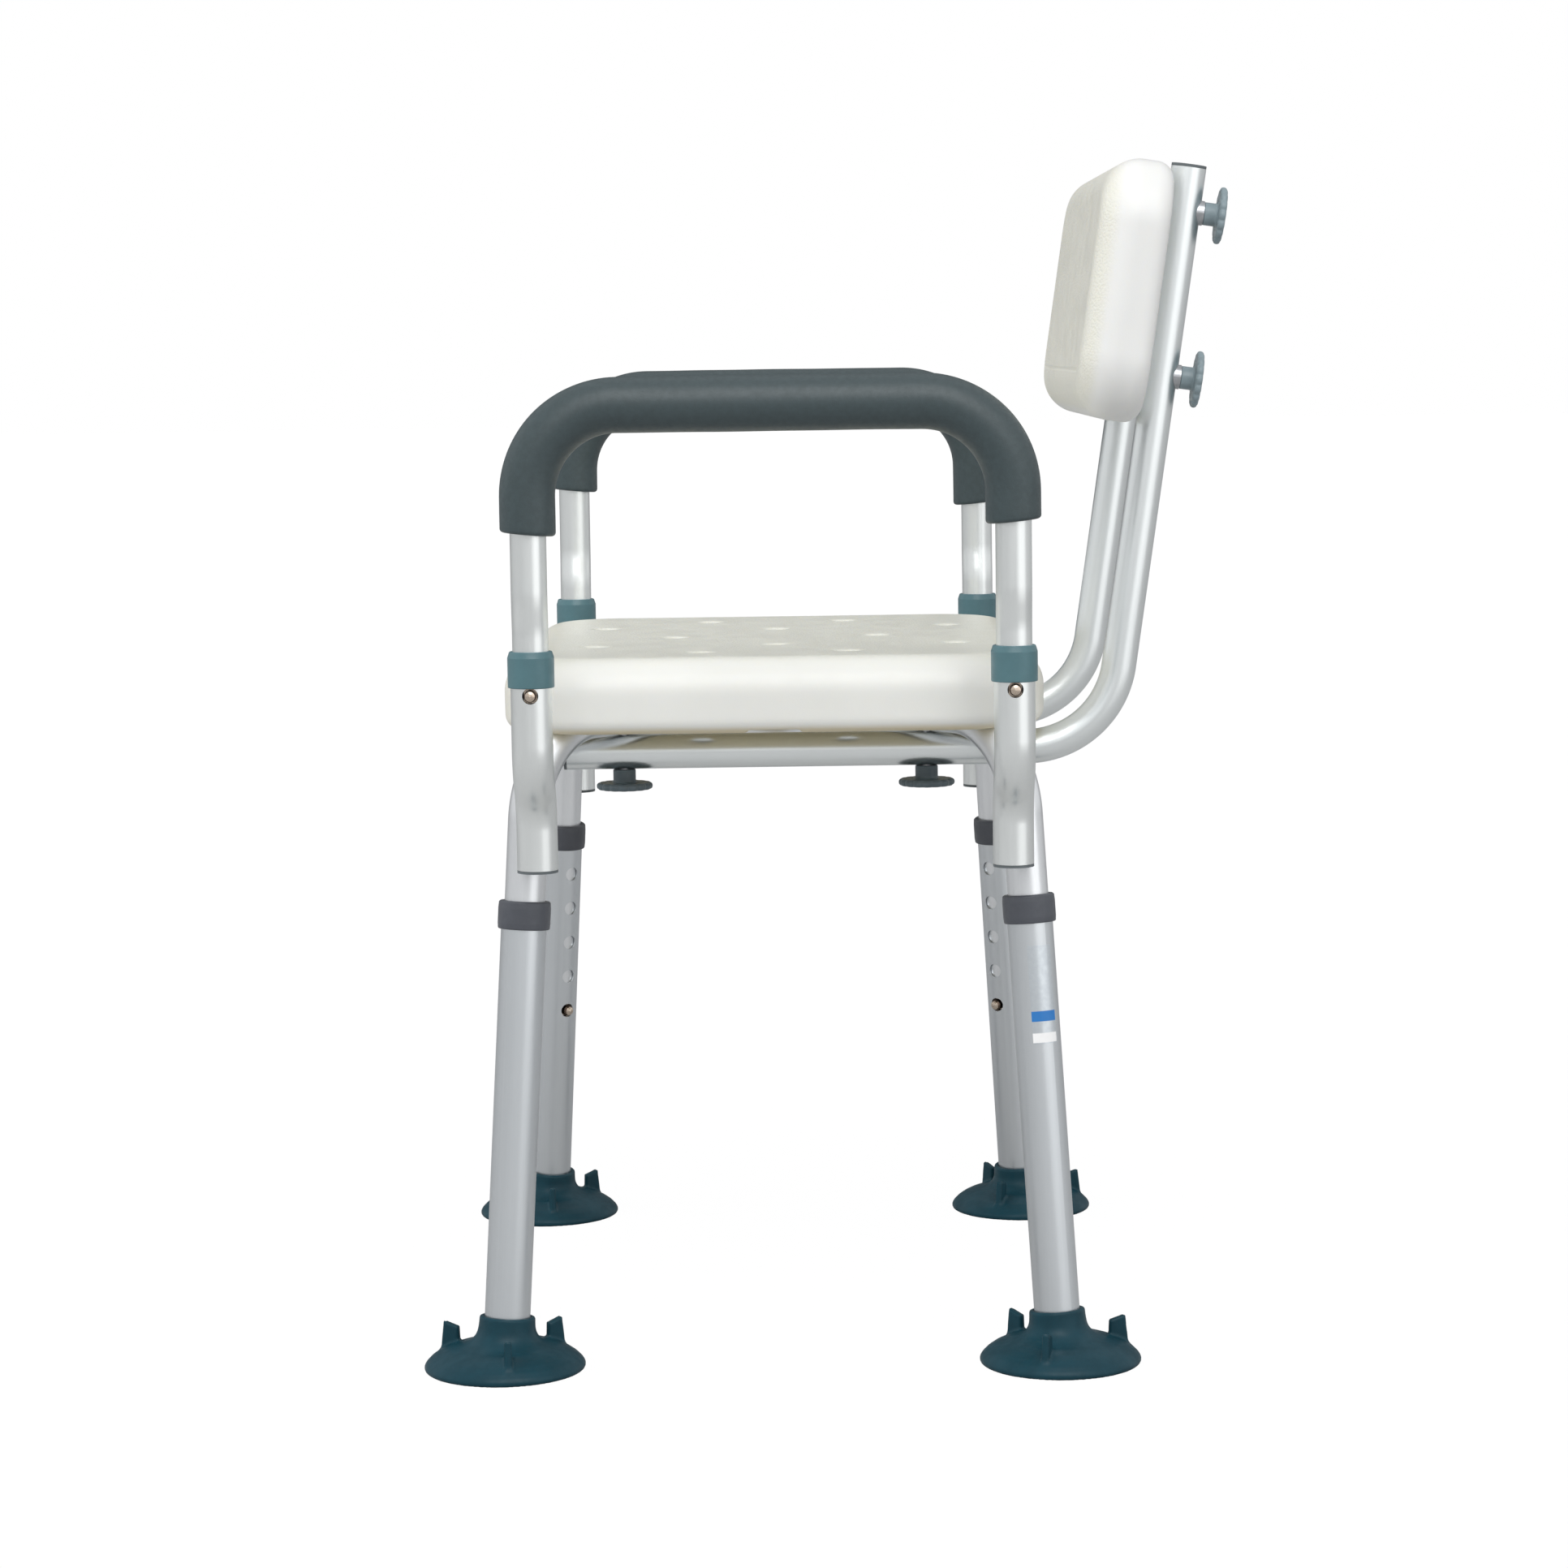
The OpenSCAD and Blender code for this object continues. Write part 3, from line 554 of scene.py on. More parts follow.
def metal(name, colour, rough):
    """Plated metal with a faint cloudy tarnish."""
    n = Look(name)
    blur = n.noise(260, 4)
    n.set(Base_Color=n.mix(n.ramp(blur, 0.3, 0.7), colour, shade(colour, 0.8)), Metallic=1.0)
    n.set(Roughness=n.ramp(blur, 0.3, 0.7, rough, rough + 0.12), Normal=n.bump(n.noise(900, 2), 0.00001))
    return n.material


def button_metal(name, axis):
    """A domed button with a faint worn mottle: its own colour on the crown, darkened round its foot as
    painted shade. axis is the way it points.
    """
    n = Look(name)
    dot = n.add("ShaderNodeVectorMath", operation="DOT_PRODUCT")
    n.feed(dot.inputs[0], n.add("ShaderNodeTexCoord").outputs["Normal"])
    n.feed(dot.inputs[1], axis)
    crown = n.ramp(n.math("ABSOLUTE", dot.outputs["Value"]), 0.55, 0.85)
    wear = n.noise(900, 3)
    bright = n.mix(n.ramp(wear, 0.3, 0.7), srgb(212, 197, 181), srgb(198, 182, 166))
    # painted shade: towards the button's foot, where it sits in its hole, the colour goes dark brown
    n.set(Base_Color=n.mix(crown, srgb(94, 80, 70), bright), Metallic=1.0)
    n.set(Roughness=n.ramp(wear, 0.3, 0.7, 0.22, 0.3), Normal=n.bump(wear, 0.00001))
    return n.material


def label_film(place):
    """A clear film with a thin blue band and a plain white strip, which run across the leg."""
    n = Look("label_film")
    back = place.to_3x3().inverted()
    s = n.math("SUBTRACT", n.xyz(n.moved(turn=tuple(back.to_euler())))[2], (back @ place.translation).z)
    blur = 0.0003

    def between(low, high):
        """1 between two distances up the leg, in metres."""
        below_high = n.ramp(s, high - blur, high + blur, 1, 0)
        return n.math("MULTIPLY", n.ramp(s, low - blur, low + blur), below_high)

    paper = n.noise(300, 3)
    white, blue = between(0.2018, 0.2078), between(0.2150, 0.2215)
    tone = n.mix(n.ramp(paper, 0.3, 0.7), srgb(210, 216, 220), srgb(202, 208, 213))
    tone = n.mix(white, tone, srgb(244, 244, 244))
    tone = n.mix(blue, tone, srgb(38, 118, 190))
    bare = n.math("SUBTRACT", 0.92, n.math("MULTIPLY", n.math("ADD", white, blue), 0.92))
    n.set(Base_Color=tone, Roughness=n.ramp(paper, 0.3, 0.7, 0.3, 0.38), Metallic=bare)
    n.set(Normal=n.bump(paper, 0.00002))
    return n.material


def from_seat_middle(n):
    """The distance in y from the seat's middle, in metres."""
    return n.math("ABSOLUTE", n.math("SUBTRACT", n.place(1), float(SEAT_Y) * MM))


def top_of_seat(n):
    """1 on the seat's upper face, inside its smooth rim."""
    top = SEAT_HIGH[2] * MM
    in_x = n.ramp(n.math("ABSOLUTE", n.place(0)), 0.186, 0.204, 1, 0)
    in_y = n.ramp(from_seat_middle(n), 0.150, 0.168, 1, 0)
    return n.math("MULTIPLY", n.math("MULTIPLY", in_x, in_y), n.ramp(n.place(2), top - 0.013, top - 0.004))


def front_of_back(n):
    """1 on the backrest's front face, inside its smooth rim."""
    at = Matrix.Rotation(LEAN, 3, "X") @ -Vector(BACK_FOOT) * MM
    return n.ramp(n.xyz(n.moved(turn=(LEAN, 0, 0), at=tuple(at)))[1], -0.050, -0.041, 1, 0)


# The seat's underside and ends colours are painted shade, and each dull colour is partly painted shade on the
# seat's top and the backrest's front.
SEAT_PLASTIC = cream_plastic("cream_seat", top_of_seat, (223, 223, 213), (230, 230, 225),
                             underside_shade=(216, 204, 172), ends=(216, 212, 194))
BACK_PLASTIC = cream_plastic("cream_back", front_of_back, (223, 222, 212), (232, 232, 230))
# The leg tubes' tone is darker than the other tubes' as painted shade on the lower part of the chair.
LEG_ALU = {k: aluminium("satin_leg_" + k, [leg_frame(c)], (214, 218, 221), (0.32, 0.39))
           for k, c in CORNERS.items()}
ARM_ALU = aluminium("satin_arm", [Matrix.Identity(4)], (243, 246, 245), (0.3, 0.37))
BACK_ALU = aluminium("satin_back", [turned("X", math.pi / 2), turned("X", -LEAN), 0.39, 0.42],
                     (243, 247, 247), (0.31, 0.36), low_rough=0.88)
FRAME_ALU = {name: aluminium(
    "satin_frame_" + name,
    [Matrix.Identity(4), turned("Z", sign * DIAGONAL) @ turned("Y", math.pi / 2), 0.37, 0.395],
    (236, 238, 240), (0.3, 0.37)) for name, sign in (("a", -1), ("b", 1))}
TEAL = soft_plastic("teal_collar", srgb(80, 115, 122), 0.34, vary=0.9)
COLLAR = soft_plastic("grey_collar", srgb(76, 79, 86), 0.4, vary=0.88)
CAP = soft_plastic("grey_cap", srgb(96, 103, 106), 0.4)
FOOT = soft_plastic("foot_rubber", srgb(19, 60, 72), 0.4, grain=700, depth=0.00004, vary=0.82, shine=0.22)
KNOB = soft_plastic("knob_plastic", srgb(136, 152, 158), 0.36)
# The seat's knobs are the same plastic as the back's; this darker copy is painted shade for their place under
# the seat.
SHADED_SEAT_KNOB = soft_plastic("knob_plastic_painted_shade", srgb(84, 97, 103), 0.4)
FOAM = foam()
ARM_BUTTON = button_metal("button_metal_arm", (1, 0, 0))
LEG_BUTTON = {k: button_metal("button_metal_" + k, leg_frame(c).to_3x3() @ Vector((1, 0, 0)))
              for k, c in CORNERS.items()}
STEEL = metal("zinc_steel", srgb(185, 187, 190), 0.28)
BRASS = metal("brass", srgb(190, 160, 92), 0.3)
LABEL = label_film(leg_frame(CORNERS["rear_left"]))


def paint(node, material):
    """Gives a CAD node that keeps its shape its material."""
    slots = NODES[node].material_slots
    for k in range(len(slots)):
        slots[k].material = material
    if not slots:
        NODES[node].data.materials.append(material)


# ---------- seat ----------

def slab(x, y, z, w, d, t, corner, low, high):
    """Distance to a slab standing on z = 0, with round corners. low and high are its edges' radii."""
    qx, qy = np.abs(x) - (w / 2 - corner), np.abs(y) - (d / 2 - corner)
    plan = np.hypot(np.maximum(qx, 0), np.maximum(qy, 0)) + np.minimum(np.maximum(qx, qy), 0) - corner
    middle = (t + low - high) / 2
    edge = np.where(z < middle, low, high)
    rise = np.where(z < middle, low - z, z - t + high)
    plan = plan + edge
    return np.minimum(np.maximum(plan, rise), 0) + np.hypot(np.maximum(plan, 0), np.maximum(rise, 0)) - edge


def smooth_step(value, low, high):
    t = np.clip((value - low) / (high - low), 0, 1)
    return t * t * (3 - 2 * t)


# The plastic's sides lean in by DRAFT above and below the mould's parting line.
DRAFT, PARTING_SEAT, PARTING_BACK = 0.012, 0.47, 0.5
SEAT_CORNER, SEAT_EDGE_LOW, SEAT_EDGE_TOP, SEAT_HOLLOW = 60, 10, 23, 1.3
DRAIN_R, DRAIN_EDGE = 6.5, 5
DRAIN_HOLES = [(sx * x, sy * y) for sx in (1, -1) for sy in (1, -1) for x, y in ((84, 117.5), (142, 47))]
DRAIN_HOLES += [(73, 0), (-73, 0), (0, 67.5), (0, -67.5)]
CHANNEL_GAP, CHANNEL_OPEN, CHANNEL_END, CHANNEL_EDGE = 0.6, 222, 252, 3
BOLT_POCKET_R, BOLT_POCKET_DEPTH = 8, 5
NOTCH_X, NOTCH_Y, NOTCH_Z = 31, 16.5, 2.4


def seat_field(x, y, z):
    w, d, t = SEAT_HIGH - SEAT_LOW
    y, z = y - SEAT_Y, z - SEAT_LOW[2]
    hollow = SEAT_HOLLOW * (1 - (x / (w / 2)) ** 2) * (1 - (y / (d / 2)) ** 2)
    sunk = z + np.maximum(hollow, 0) * smooth_step(z, 0.55 * t, 0.95 * t)
    f = slab(x, y, sunk, w, d, t, SEAT_CORNER, SEAT_EDGE_LOW, SEAT_EDGE_TOP)
    f = f + DRAFT * np.abs(z - PARTING_SEAT * t)
    for hx, hy in DRAIN_HOLES:
        f = smooth_max(f, DRAIN_R - np.hypot(x - hx, y - hy), DRAIN_EDGE)
    # channels for the two crossed tubes, which follow the tubes' bends at the corners
    height = FRAME_Z - SEAT_LOW[2]
    bend_start = FOOT_REACH - FRAME_Z * math.tan(SPLAY) - FRAME_BEND * math.tan(math.pi / 4 - SPLAY / 2)
    for s in (1, -1):
        along = x * math.cos(DIAGONAL) + s * y * math.sin(DIAGONAL)
        across = -x * math.sin(DIAGONAL) * s + y * math.cos(DIAGONAL)
        past = np.clip(np.abs(along) - bend_start, 0, 0.99 * FRAME_BEND)
        over = z - height + FRAME_BEND - np.sqrt(FRAME_BEND ** 2 - past ** 2)
        over = np.where(np.abs(along) < CHANNEL_OPEN, np.maximum(over, 0), over)
        channel = np.maximum(np.hypot(across, over) - FRAME_R - CHANNEL_GAP, np.abs(along) - CHANNEL_END)
        f = smooth_max(f, -channel, CHANNEL_EDGE)
    pocket = np.maximum(np.hypot(x, y) - BOLT_POCKET_R, z - height - FRAME_R - BOLT_POCKET_DEPTH)
    f = smooth_max(f, -pocket, 1)
    for s in (1, -1):
        notch = np.maximum(np.abs(x - s * w / 2) - NOTCH_X, np.maximum(np.abs(y) - NOTCH_Y, z - NOTCH_Z))
        f = smooth_max(f, -notch, 0.8)
    return f


seat_grid = [lines(low - 3, high + 3, gap) for low, high, gap in zip(SEAT_LOW, SEAT_HIGH, (1.9, 1.9, 1.5))]
piece("seat_shell", surface(seat_field, seat_grid), SEAT_PLASTIC, "frame", "seat")


# ---------- backrest ----------

BACK_WIDTH, BACK_HEIGHT, BACK_DEPTH, BACK_MIDDLE_T = 400, 164.5, 44.5, 225.2
BACK_CORNER, BACK_EDGE_REAR, BACK_EDGE_FRONT = 42, 11, 25
CREASE_T, CREASE_HALF, CREASE_R, CREASE_OUT = 171.8, 163, 1.1, 0.2
KNOB_HOLE_R, KNOB_HOLE_DEPTH = 4.6, 14


def back_field(x, y, t):
    """In BACK_FRAME, in millimetres."""
    depth = -(y + BAR_R + CLEARANCE)
    f = slab(x, t - BACK_MIDDLE_T, depth, BACK_WIDTH, BACK_HEIGHT, BACK_DEPTH,
             BACK_CORNER, BACK_EDGE_REAR, BACK_EDGE_FRONT)
    f = f + DRAFT * np.abs(depth - PARTING_BACK * BACK_DEPTH)
    groove = np.hypot(t - CREASE_T, depth - BACK_DEPTH - CREASE_OUT)
    crease = np.hypot(np.maximum(np.abs(x) - CREASE_HALF, 0), groove) - CREASE_R
    f = smooth_max(f, -crease, 0.6)
    for s in (1, -1):
        for k in BACK_KNOB_T.values():
            hole = np.maximum(np.hypot(x - s * BACK_X, t - k) - KNOB_HOLE_R, depth - KNOB_HOLE_DEPTH)
            f = smooth_max(f, -hole, 1)
    return f


# the grid is finer round the crease
back_grid = [lines(-203, 203, 1.9), lines(-BAR_R - BACK_DEPTH - 3, -BAR_R + 3, 1.3),
             np.concatenate([lines(140, 168.5, 1.8), lines(168.9, 174.7, 0.45), lines(176, 311, 1.8)])]
piece("back_shell", surface(back_field, back_grid), BACK_PLASTIC, "frame", "backrest", place=BACK_FRAME)


# ---------- foam grips ----------

GRIP_R, GRIP_BORE_R, GRIP_ROUNDING, END_REACH, END_SLANT = 17.0, 11.16, 2.4, 12, 1.6


def grip_path(front, rear):
    """Points (y, z) along the armrest's tube, from the height front over the top to the height rear."""
    y0, y1, top, bend = SEAT_Y - SOCKET_Y, SEAT_Y + SOCKET_Y, ARM_Z - ARM_BEND, ARM_BEND
    corner = [math.pi / 2 * k / 32 for k in range(1, 33)]
    path = [(y0, front + (top - front) * k / 30) for k in range(31)]
    path += [(y0 + bend * (1 - math.cos(a)), ARM_Z - bend * (1 - math.sin(a))) for a in corner]
    path += [(y0 + bend + (y1 - y0 - 2 * bend) * k / 64, ARM_Z) for k in range(1, 65)]
    path += [(y1 - bend * (1 - math.sin(a)), ARM_Z - bend * (1 - math.cos(a))) for a in corner]
    path += [(y1, top - (top - rear) * k / 30) for k in range(1, 31)]
    return np.array(path)


def grip(side, front, rear):
    """Foam sleeve on the armrest's tube: rings along the path, out round one end and back through the bore.
    front and rear are the heights of its two ends."""
    path, s = grip_path(front, rear), SIDES[side]
    length = np.concatenate([[0], np.cumsum(np.linalg.norm(np.diff(path, axis=0), axis=1))])
    total, straight_end = length[-1], 1
    ends = [(0.0, GRIP_BORE_R), (0.0, 12.2), (0.0, 14.3)]
    for k in range(7):
        a = math.pi / 2 * k / 6
        ends.append((GRIP_ROUNDING * (1 - math.cos(a)), GRIP_R - GRIP_ROUNDING * (1 - math.sin(a))))
    # rings as (distance along the path, radius)
    loop = ends + [(x, GRIP_R) for x in np.arange(4.5, total - 4.4, 2.6)]
    loop += [(total - x, r) for x, r in reversed(ends)]
    loop += [(x, GRIP_BORE_R) for x in np.arange(total - 6, 5.9, -6)]
    around = 72
    cos, sin = np.cos(ring_angles(around)), np.sin(ring_angles(around))
    points = []
    for at, r in loop:
        y, z = (np.interp(at, length, path[:, k]) for k in (0, 1))
        ahead = [np.interp(at + h, length, path[:, k]) for h in (-0.6, 0.6) for k in (0, 1)]
        ty, tz = ahead[2] - ahead[0], ahead[3] - ahead[1]
        if at < straight_end:
            ty, tz = 0, 1
        if at > total - straight_end:
            ty, tz = 0, -1
        norm = math.hypot(ty, tz)
        # the outside swells a little here and there, as hand-fitted foam does
        if r > 15:
            r = r * (1 + 0.004 * math.sin(at / 23) + 0.003 * math.sin(at / 9.1 + s))
        off = r * sin * tz / norm
        # near each end the foam on the inside of the bend reaches further down than that on the outside
        near_end = max(0, 1 - min(at, total - at) / END_REACH)
        inner = off * (1 if at < total / 2 else -1) / GRIP_R
        height = z - r * sin * ty / norm - END_SLANT * inner * near_end
        points.append(np.stack([s * GRIP_X + r * cos, y + off, height], 1))
    mesh = np.concatenate(points), closed_net(len(loop), around)
    ob = piece("foam_grip_" + side, mesh, FOAM, "armrest_" + side, "armrest_grip_" + side)


grip("left", 524, 528)
grip("right", 532, 519)


# ---------- feet ----------

def outline_distance(u, v, corners):
    """Signed distance from points (u, v) to a closed polygon, negative inside."""
    best, odd = np.full(u.shape, 1e9), np.zeros(u.shape, bool)
    for (ax, ay), (bx, by) in zip(corners, [*corners[1:], corners[0]]):
        ex, ey = bx - ax, by - ay
        t = np.clip(((u - ax) * ex + (v - ay) * ey) / (ex * ex + ey * ey), 0, 1)
        best = np.minimum(best, (u - ax - t * ex) ** 2 + (v - ay - t * ey) ** 2)
        if ey:
            odd ^= ((ay > v) != (by > v)) & (u < ex * (v - ay) / ey + ax)
    return np.where(odd, -1, 1) * np.sqrt(best)


# outlines in millimetres as (distance from the middle, height)
DOME = [(0, 17.2), (12, 17.0), (20, 16.6), (26, 15.9), (32, 14.6), (37.5, 12.8), (42.5, 10.4), (46.5, 7.6),
        (49.3, 4.8), (50.3, 3.2), (50.6, 2.0), (50.2, 0.8), (49.2, 0.0), (44, 0.0), (34, 2.6), (20, 4.4),
        (0, 5)]
TAB = [(31.5, 8), (32.3, 24.2), (42.5, 27.2), (44.8, 7)]


TAB_HALF, NECK_R, NECK_FLARE, NECK_TOP, NECK_FLARE_S = 2.25, 17.5, 2.6, 33, 17
NECK_MIDDLE, NECK_HALF, BORE_START, BORE_GAP = 21, 12, 11.7, 0.03
FIRST_TAB = {"front_left": 7, "front_right": 7, "rear_left": -16, "rear_right": -25}  # degrees from +X


def foot_mesh(c, spin):
    """Suction cup with three pull tabs and a neck that leans with the leg."""
    turn = outward(c)
    axis = np.array([-math.sin(SPLAY) * math.cos(turn), -math.sin(SPLAY) * math.sin(turn), math.cos(SPLAY)])

    def field(x, y, z):
        along = x * axis[0] + y * axis[1] + z * axis[2]
        off = np.sqrt(np.maximum(x * x + y * y + z * z - along ** 2, 0))
        wide = NECK_R + NECK_FLARE * np.clip((NECK_TOP - along) / NECK_FLARE_S, 0, 1.2) ** 2
        neck = smooth_max(off - wide, np.abs(along - NECK_MIDDLE) - NECK_HALF, 1.6)
        f = smooth_min(outline_distance(np.hypot(x, y), z, DOME), neck, 9)
        for k in range(3):
            a = math.radians(spin + 120 * k)
            u, v = x * math.cos(a) + y * math.sin(a), -x * math.sin(a) + y * math.cos(a)
            tab = smooth_max(outline_distance(u, z, TAB) + 0.1, np.abs(v) - TAB_HALF, 1.4)
            f = smooth_min(f, tab, 2.2)
        bore = np.maximum(off - LEG_R - BORE_GAP, BORE_START - along)
        return smooth_max(f, -bore, 0.8)

    return surface(field, [lines(-53, 53, 1.15), lines(-53, 53, 1.15), lines(-2, 36, 1.0)])


for k, c in CORNERS.items():
    piece("suction_foot_" + k, foot_mesh(c, FIRST_TAB[k]), FOOT, "leg_" + k, "foot_" + k,
          place=shifted(*over_diagonal(c, FOOT_REACH), 0))


# ---------- knobs ----------

KNOB_R, SCALLOPS, SCALLOP_DEPTH = 18, 16, 1.1
DISC_MIDDLE, DISC_HALF, HUB_R, HUB_MIDDLE = 10.75, 2.25, 7.25, 5.5
WASHER = 2


def knob_field(x, y, z):
    """Local z points away from the tube."""
    r, wave = np.hypot(x, y), (np.arctan2(y, x) * SCALLOPS / (2 * math.pi)) % 1 - 0.5
    rim = KNOB_R - SCALLOP_DEPTH * (1 - 2 * np.abs(wave)) ** 2
    disc = smooth_max(r - rim, np.abs(z - DISC_MIDDLE) - DISC_HALF, 2.4)
    hub = smooth_max(r - HUB_R, np.abs(z - HUB_MIDDLE) - HUB_MIDDLE, 0.8)
    return smooth_min(disc, hub, 2.0)


knob_net = surface(knob_field, [lines(-20, 20, 0.62), lines(-20, 20, 0.62), lines(-1.5, 14.5, 0.5)])

for k, c in CORNERS.items():
    at = shifted(c[0] * BACK_X, SEAT_Y + c[1] * SEAT_KNOB_Y, BACK_RUN_Z - BAR_R - CLEARANCE)
    piece("hand_knob_seat_" + k, knob_net, SHADED_SEAT_KNOB, "knob_seat_" + k, "seat_knob_" + k,
          place=at @ turned("X", math.pi))
for level, t in BACK_KNOB_T.items():
    for side, s in SIDES.items():
        name = level + "_" + side
        piece("hand_knob_back_" + name, knob_net, KNOB, "knob_back_" + name, "back_knob_" + name,
              place=BACK_FRAME @ shifted(s * BACK_X, BAR_R + WASHER, t) @ turned("X", -math.pi / 2))


# ---------- collars ----------

# corners as (radius, height, rounding): distances up the leg for the first, heights for the second
LEG_SLEEVE = [(14.35, 276.3, 0.2), (16.2, 276.3, 1.0), (16.5, 280, 3), (16.5, 289.5, 3), (16.2, 293.2, 0.8),
              (15.2, 294.1, 0.6), (12.76, 294.1, 0.3), (12.76, 291.05, 0.1), (14.35, 291.05, 0.1)]
TEAL_RING = [(12.75, 430.4, 0.2), (14.3, 430.4, 1.2), (14.3, 448.8, 0.4), (13.2, 452.2, 0.6),
             (12.7, 452.6, 0.4), (11.16, 452.6, 0.3), (11.16, 451.05, 0.1), (12.75, 451.05, 0.1)]

for k, c in CORNERS.items():
    piece("leg_sleeve_" + k, lathe(rounded(LEG_SLEEVE)), COLLAR, "leg_" + k, "leg_collar_" + k,
          place=leg_frame(c), weighted=True)

points, quads = lathe(rounded(TEAL_RING))
rings = [points + [c[0] * ARM_X, SEAT_Y + c[1] * SOCKET_Y, 0] for c in CORNERS.values()]
ring_quads = [quads + k * len(points) for k in range(len(rings))]
piece("teal_rings", (np.concatenate(rings), np.concatenate(ring_quads)), TEAL, "frame", "socket_collars",
      weighted=True)


# ---------- bent tubes ----------

def leg_point(c, x, s):
    """The point x outwards from a leg's axis at s along it."""
    return np.array(leg_frame(c) @ Vector((x * MM, 0, s * MM))) / MM


def stud_hole(c):
    """Up through a back tube and a leg frame tube, where a seat knob's stud goes."""
    x, y = c[0] * BACK_X, SEAT_Y + c[1] * SEAT_KNOB_Y
    return (x, y, BACK_RUN_Z - 2 * BAR_R), (x, y, FRAME_Z + 2 * FRAME_R), STUD_HOLE_R


def rivet_holes(c):
    """Through both walls where a socket lies on a leg."""
    holes, reach = [], 6
    for z in RIVET_Z:
        leg = np.array([*over_diagonal(c, FOOT_REACH - z * math.tan(SPLAY)), z])
        socket = np.array([c[0] * SOCKET_X, SEAT_Y + c[1] * SOCKET_Y, z])
        mid, way = (leg + socket) / 2, unit(socket - leg)
        holes.append((mid - reach * way, mid + reach * way, RIVET_HOLE_R))
    return holes


def frame_line(dip):
    """A leg frame tube's corners in the plane of its diagonal, as (distance from the middle, height). A tube
    with a dip passes that far under the other one."""
    half = [(FOOT_REACH - FRAME_END_S * math.sin(SPLAY), FRAME_END_S * math.cos(SPLAY)),
            (FOOT_REACH - FRAME_Z * math.tan(SPLAY), FRAME_Z)]
    if dip:
        half += [(CROSS_HALF + dip / math.tan(CROSS_SLOPE), FRAME_Z), (CROSS_HALF, FRAME_Z - dip)]
    return half + [(-x, z) for x, z in reversed(half)]


for name, sign, dip in (("a", -1, 0), ("b", 1, CROSS_DIP)):
    corners = [(*over_diagonal((1, sign), x), z) for x, z in frame_line(dip)]
    bends = [FRAME_BEND, *([CROSS_BEND] * 4 if dip else []), FRAME_BEND]
    holes = [((0, SEAT_Y, FRAME_Z - 50), (0, SEAT_Y, FRAME_Z + 30), STUD_HOLE_R)]
    for c in ((1, sign), (-1, -sign)):
        inside, axis = leg_point(c, -2 * FRAME_R, LEG_BUTTON_S), leg_point(c, 0, LEG_BUTTON_S)
        holes += [stud_hole(c), (inside, axis, BUTTON_HOLE_R), *rivet_holes(c)]
    piece("diagonal_tube_" + name, bent_tube("diagonal", corners, bends, FRAME_R, holes), FRAME_ALU[name],
          "frame", "leg_frame_tube_" + name)

for k, c in CORNERS.items():
    low, out, y = c[0] * SOCKET_X, c[0] * ARM_X, SEAT_Y + c[1] * SOCKET_Y
    bend_end = SOCKET_BEND_Z + (ARM_X - SOCKET_X) / math.tan(SOCKET_SLOPE)
    corners = [(low, y, SOCKET_LOW), (low, y, SOCKET_BEND_Z), (out, y, bend_end), (out, y, SOCKET_TOP)]
    button = (out, y, ARM_BUTTON_Z), (out + c[0] * 2 * FRAME_R, y, ARM_BUTTON_Z), BUTTON_HOLE_R
    tube = bent_tube("socket", corners, [SOCKET_BEND, SOCKET_BEND], FRAME_R, [button, *rivet_holes(c)])
    piece("socket_tube_" + k, tube, ARM_ALU, "frame", "socket_" + k)

for side, s in SIDES.items():
    y0, y1 = SEAT_Y - SOCKET_Y, SEAT_Y + SOCKET_Y
    half = [(ARM_X, ARM_LOW), (ARM_X, ARM_STEP_Z[0]), (GRIP_X, ARM_STEP_Z[1]), (GRIP_X, ARM_Z)]
    corners = [(s * x, y0, z) for x, z in half] + [(s * x, y1, z) for x, z in reversed(half)]
    bends = [ARM_STEP_BEND, ARM_STEP_BEND, ARM_BEND, ARM_BEND, ARM_STEP_BEND, ARM_STEP_BEND]
    holes = [((s * ARM_X, y, ARM_BUTTON_Z), (s * (ARM_X + 2 * BAR_R), y, ARM_BUTTON_Z), BUTTON_HOLE_R)
             for y in (y0, y1)]
    piece("arm_bar_" + side, bent_tube("arm", corners, bends, BAR_R, holes), ARM_ALU,
          "armrest_" + side, "armrest_tube_" + side)

    foot, way = np.array([s * BACK_X, *BACK_FOOT[1:]]), np.array([0, math.sin(LEAN), math.cos(LEAN)])
    across = np.array([0, math.cos(LEAN), -math.sin(LEAN)]) * 2 * BAR_R
    corners = [(s * BACK_X, SEAT_Y + BACK_RUN_Y, BACK_RUN_Z),
               foot + way * (BACK_RUN_Z - foot[2]) / way[2], foot + way * BACK_END_T]
    holes = [stud_hole((s, end)) for end in (-1, 1)]
    holes += [(foot + way * t - across, foot + way * t + across, STUD_HOLE_R) for t in BACK_KNOB_T.values()]
    piece("back_bar_" + side, bent_tube("back", corners, [BACK_BEND], BAR_R, holes), BACK_ALU,
          "frame", "back_tube_" + side)


# ---------- CAD nodes that keep their shape ----------

for k in CORNERS:
    paint("leg_tube_" + k, LEG_ALU[k])
    paint("leg_button_" + k, LEG_BUTTON[k])
    paint("arm_button_" + k, ARM_BUTTON)
    paint("seat_stud_" + k, STEEL)
for side in SIDES:
    for level in BACK_KNOB_T:
        paint(f"back_stud_{level}_{side}", STEEL)
for material, nodes in (
        (STEEL, ("frame_cross_bolt", "frame_cross_nut", "socket_rivets", "saddle_washers")),
        (CAP, ("socket_end_caps", "back_tube_caps")),
        (BRASS, ("seat_inserts", "back_inserts")),
        (LABEL, ("leg_label",))):
    for node in nodes:
        paint(node, material)


# ---------- floor, light and camera ----------

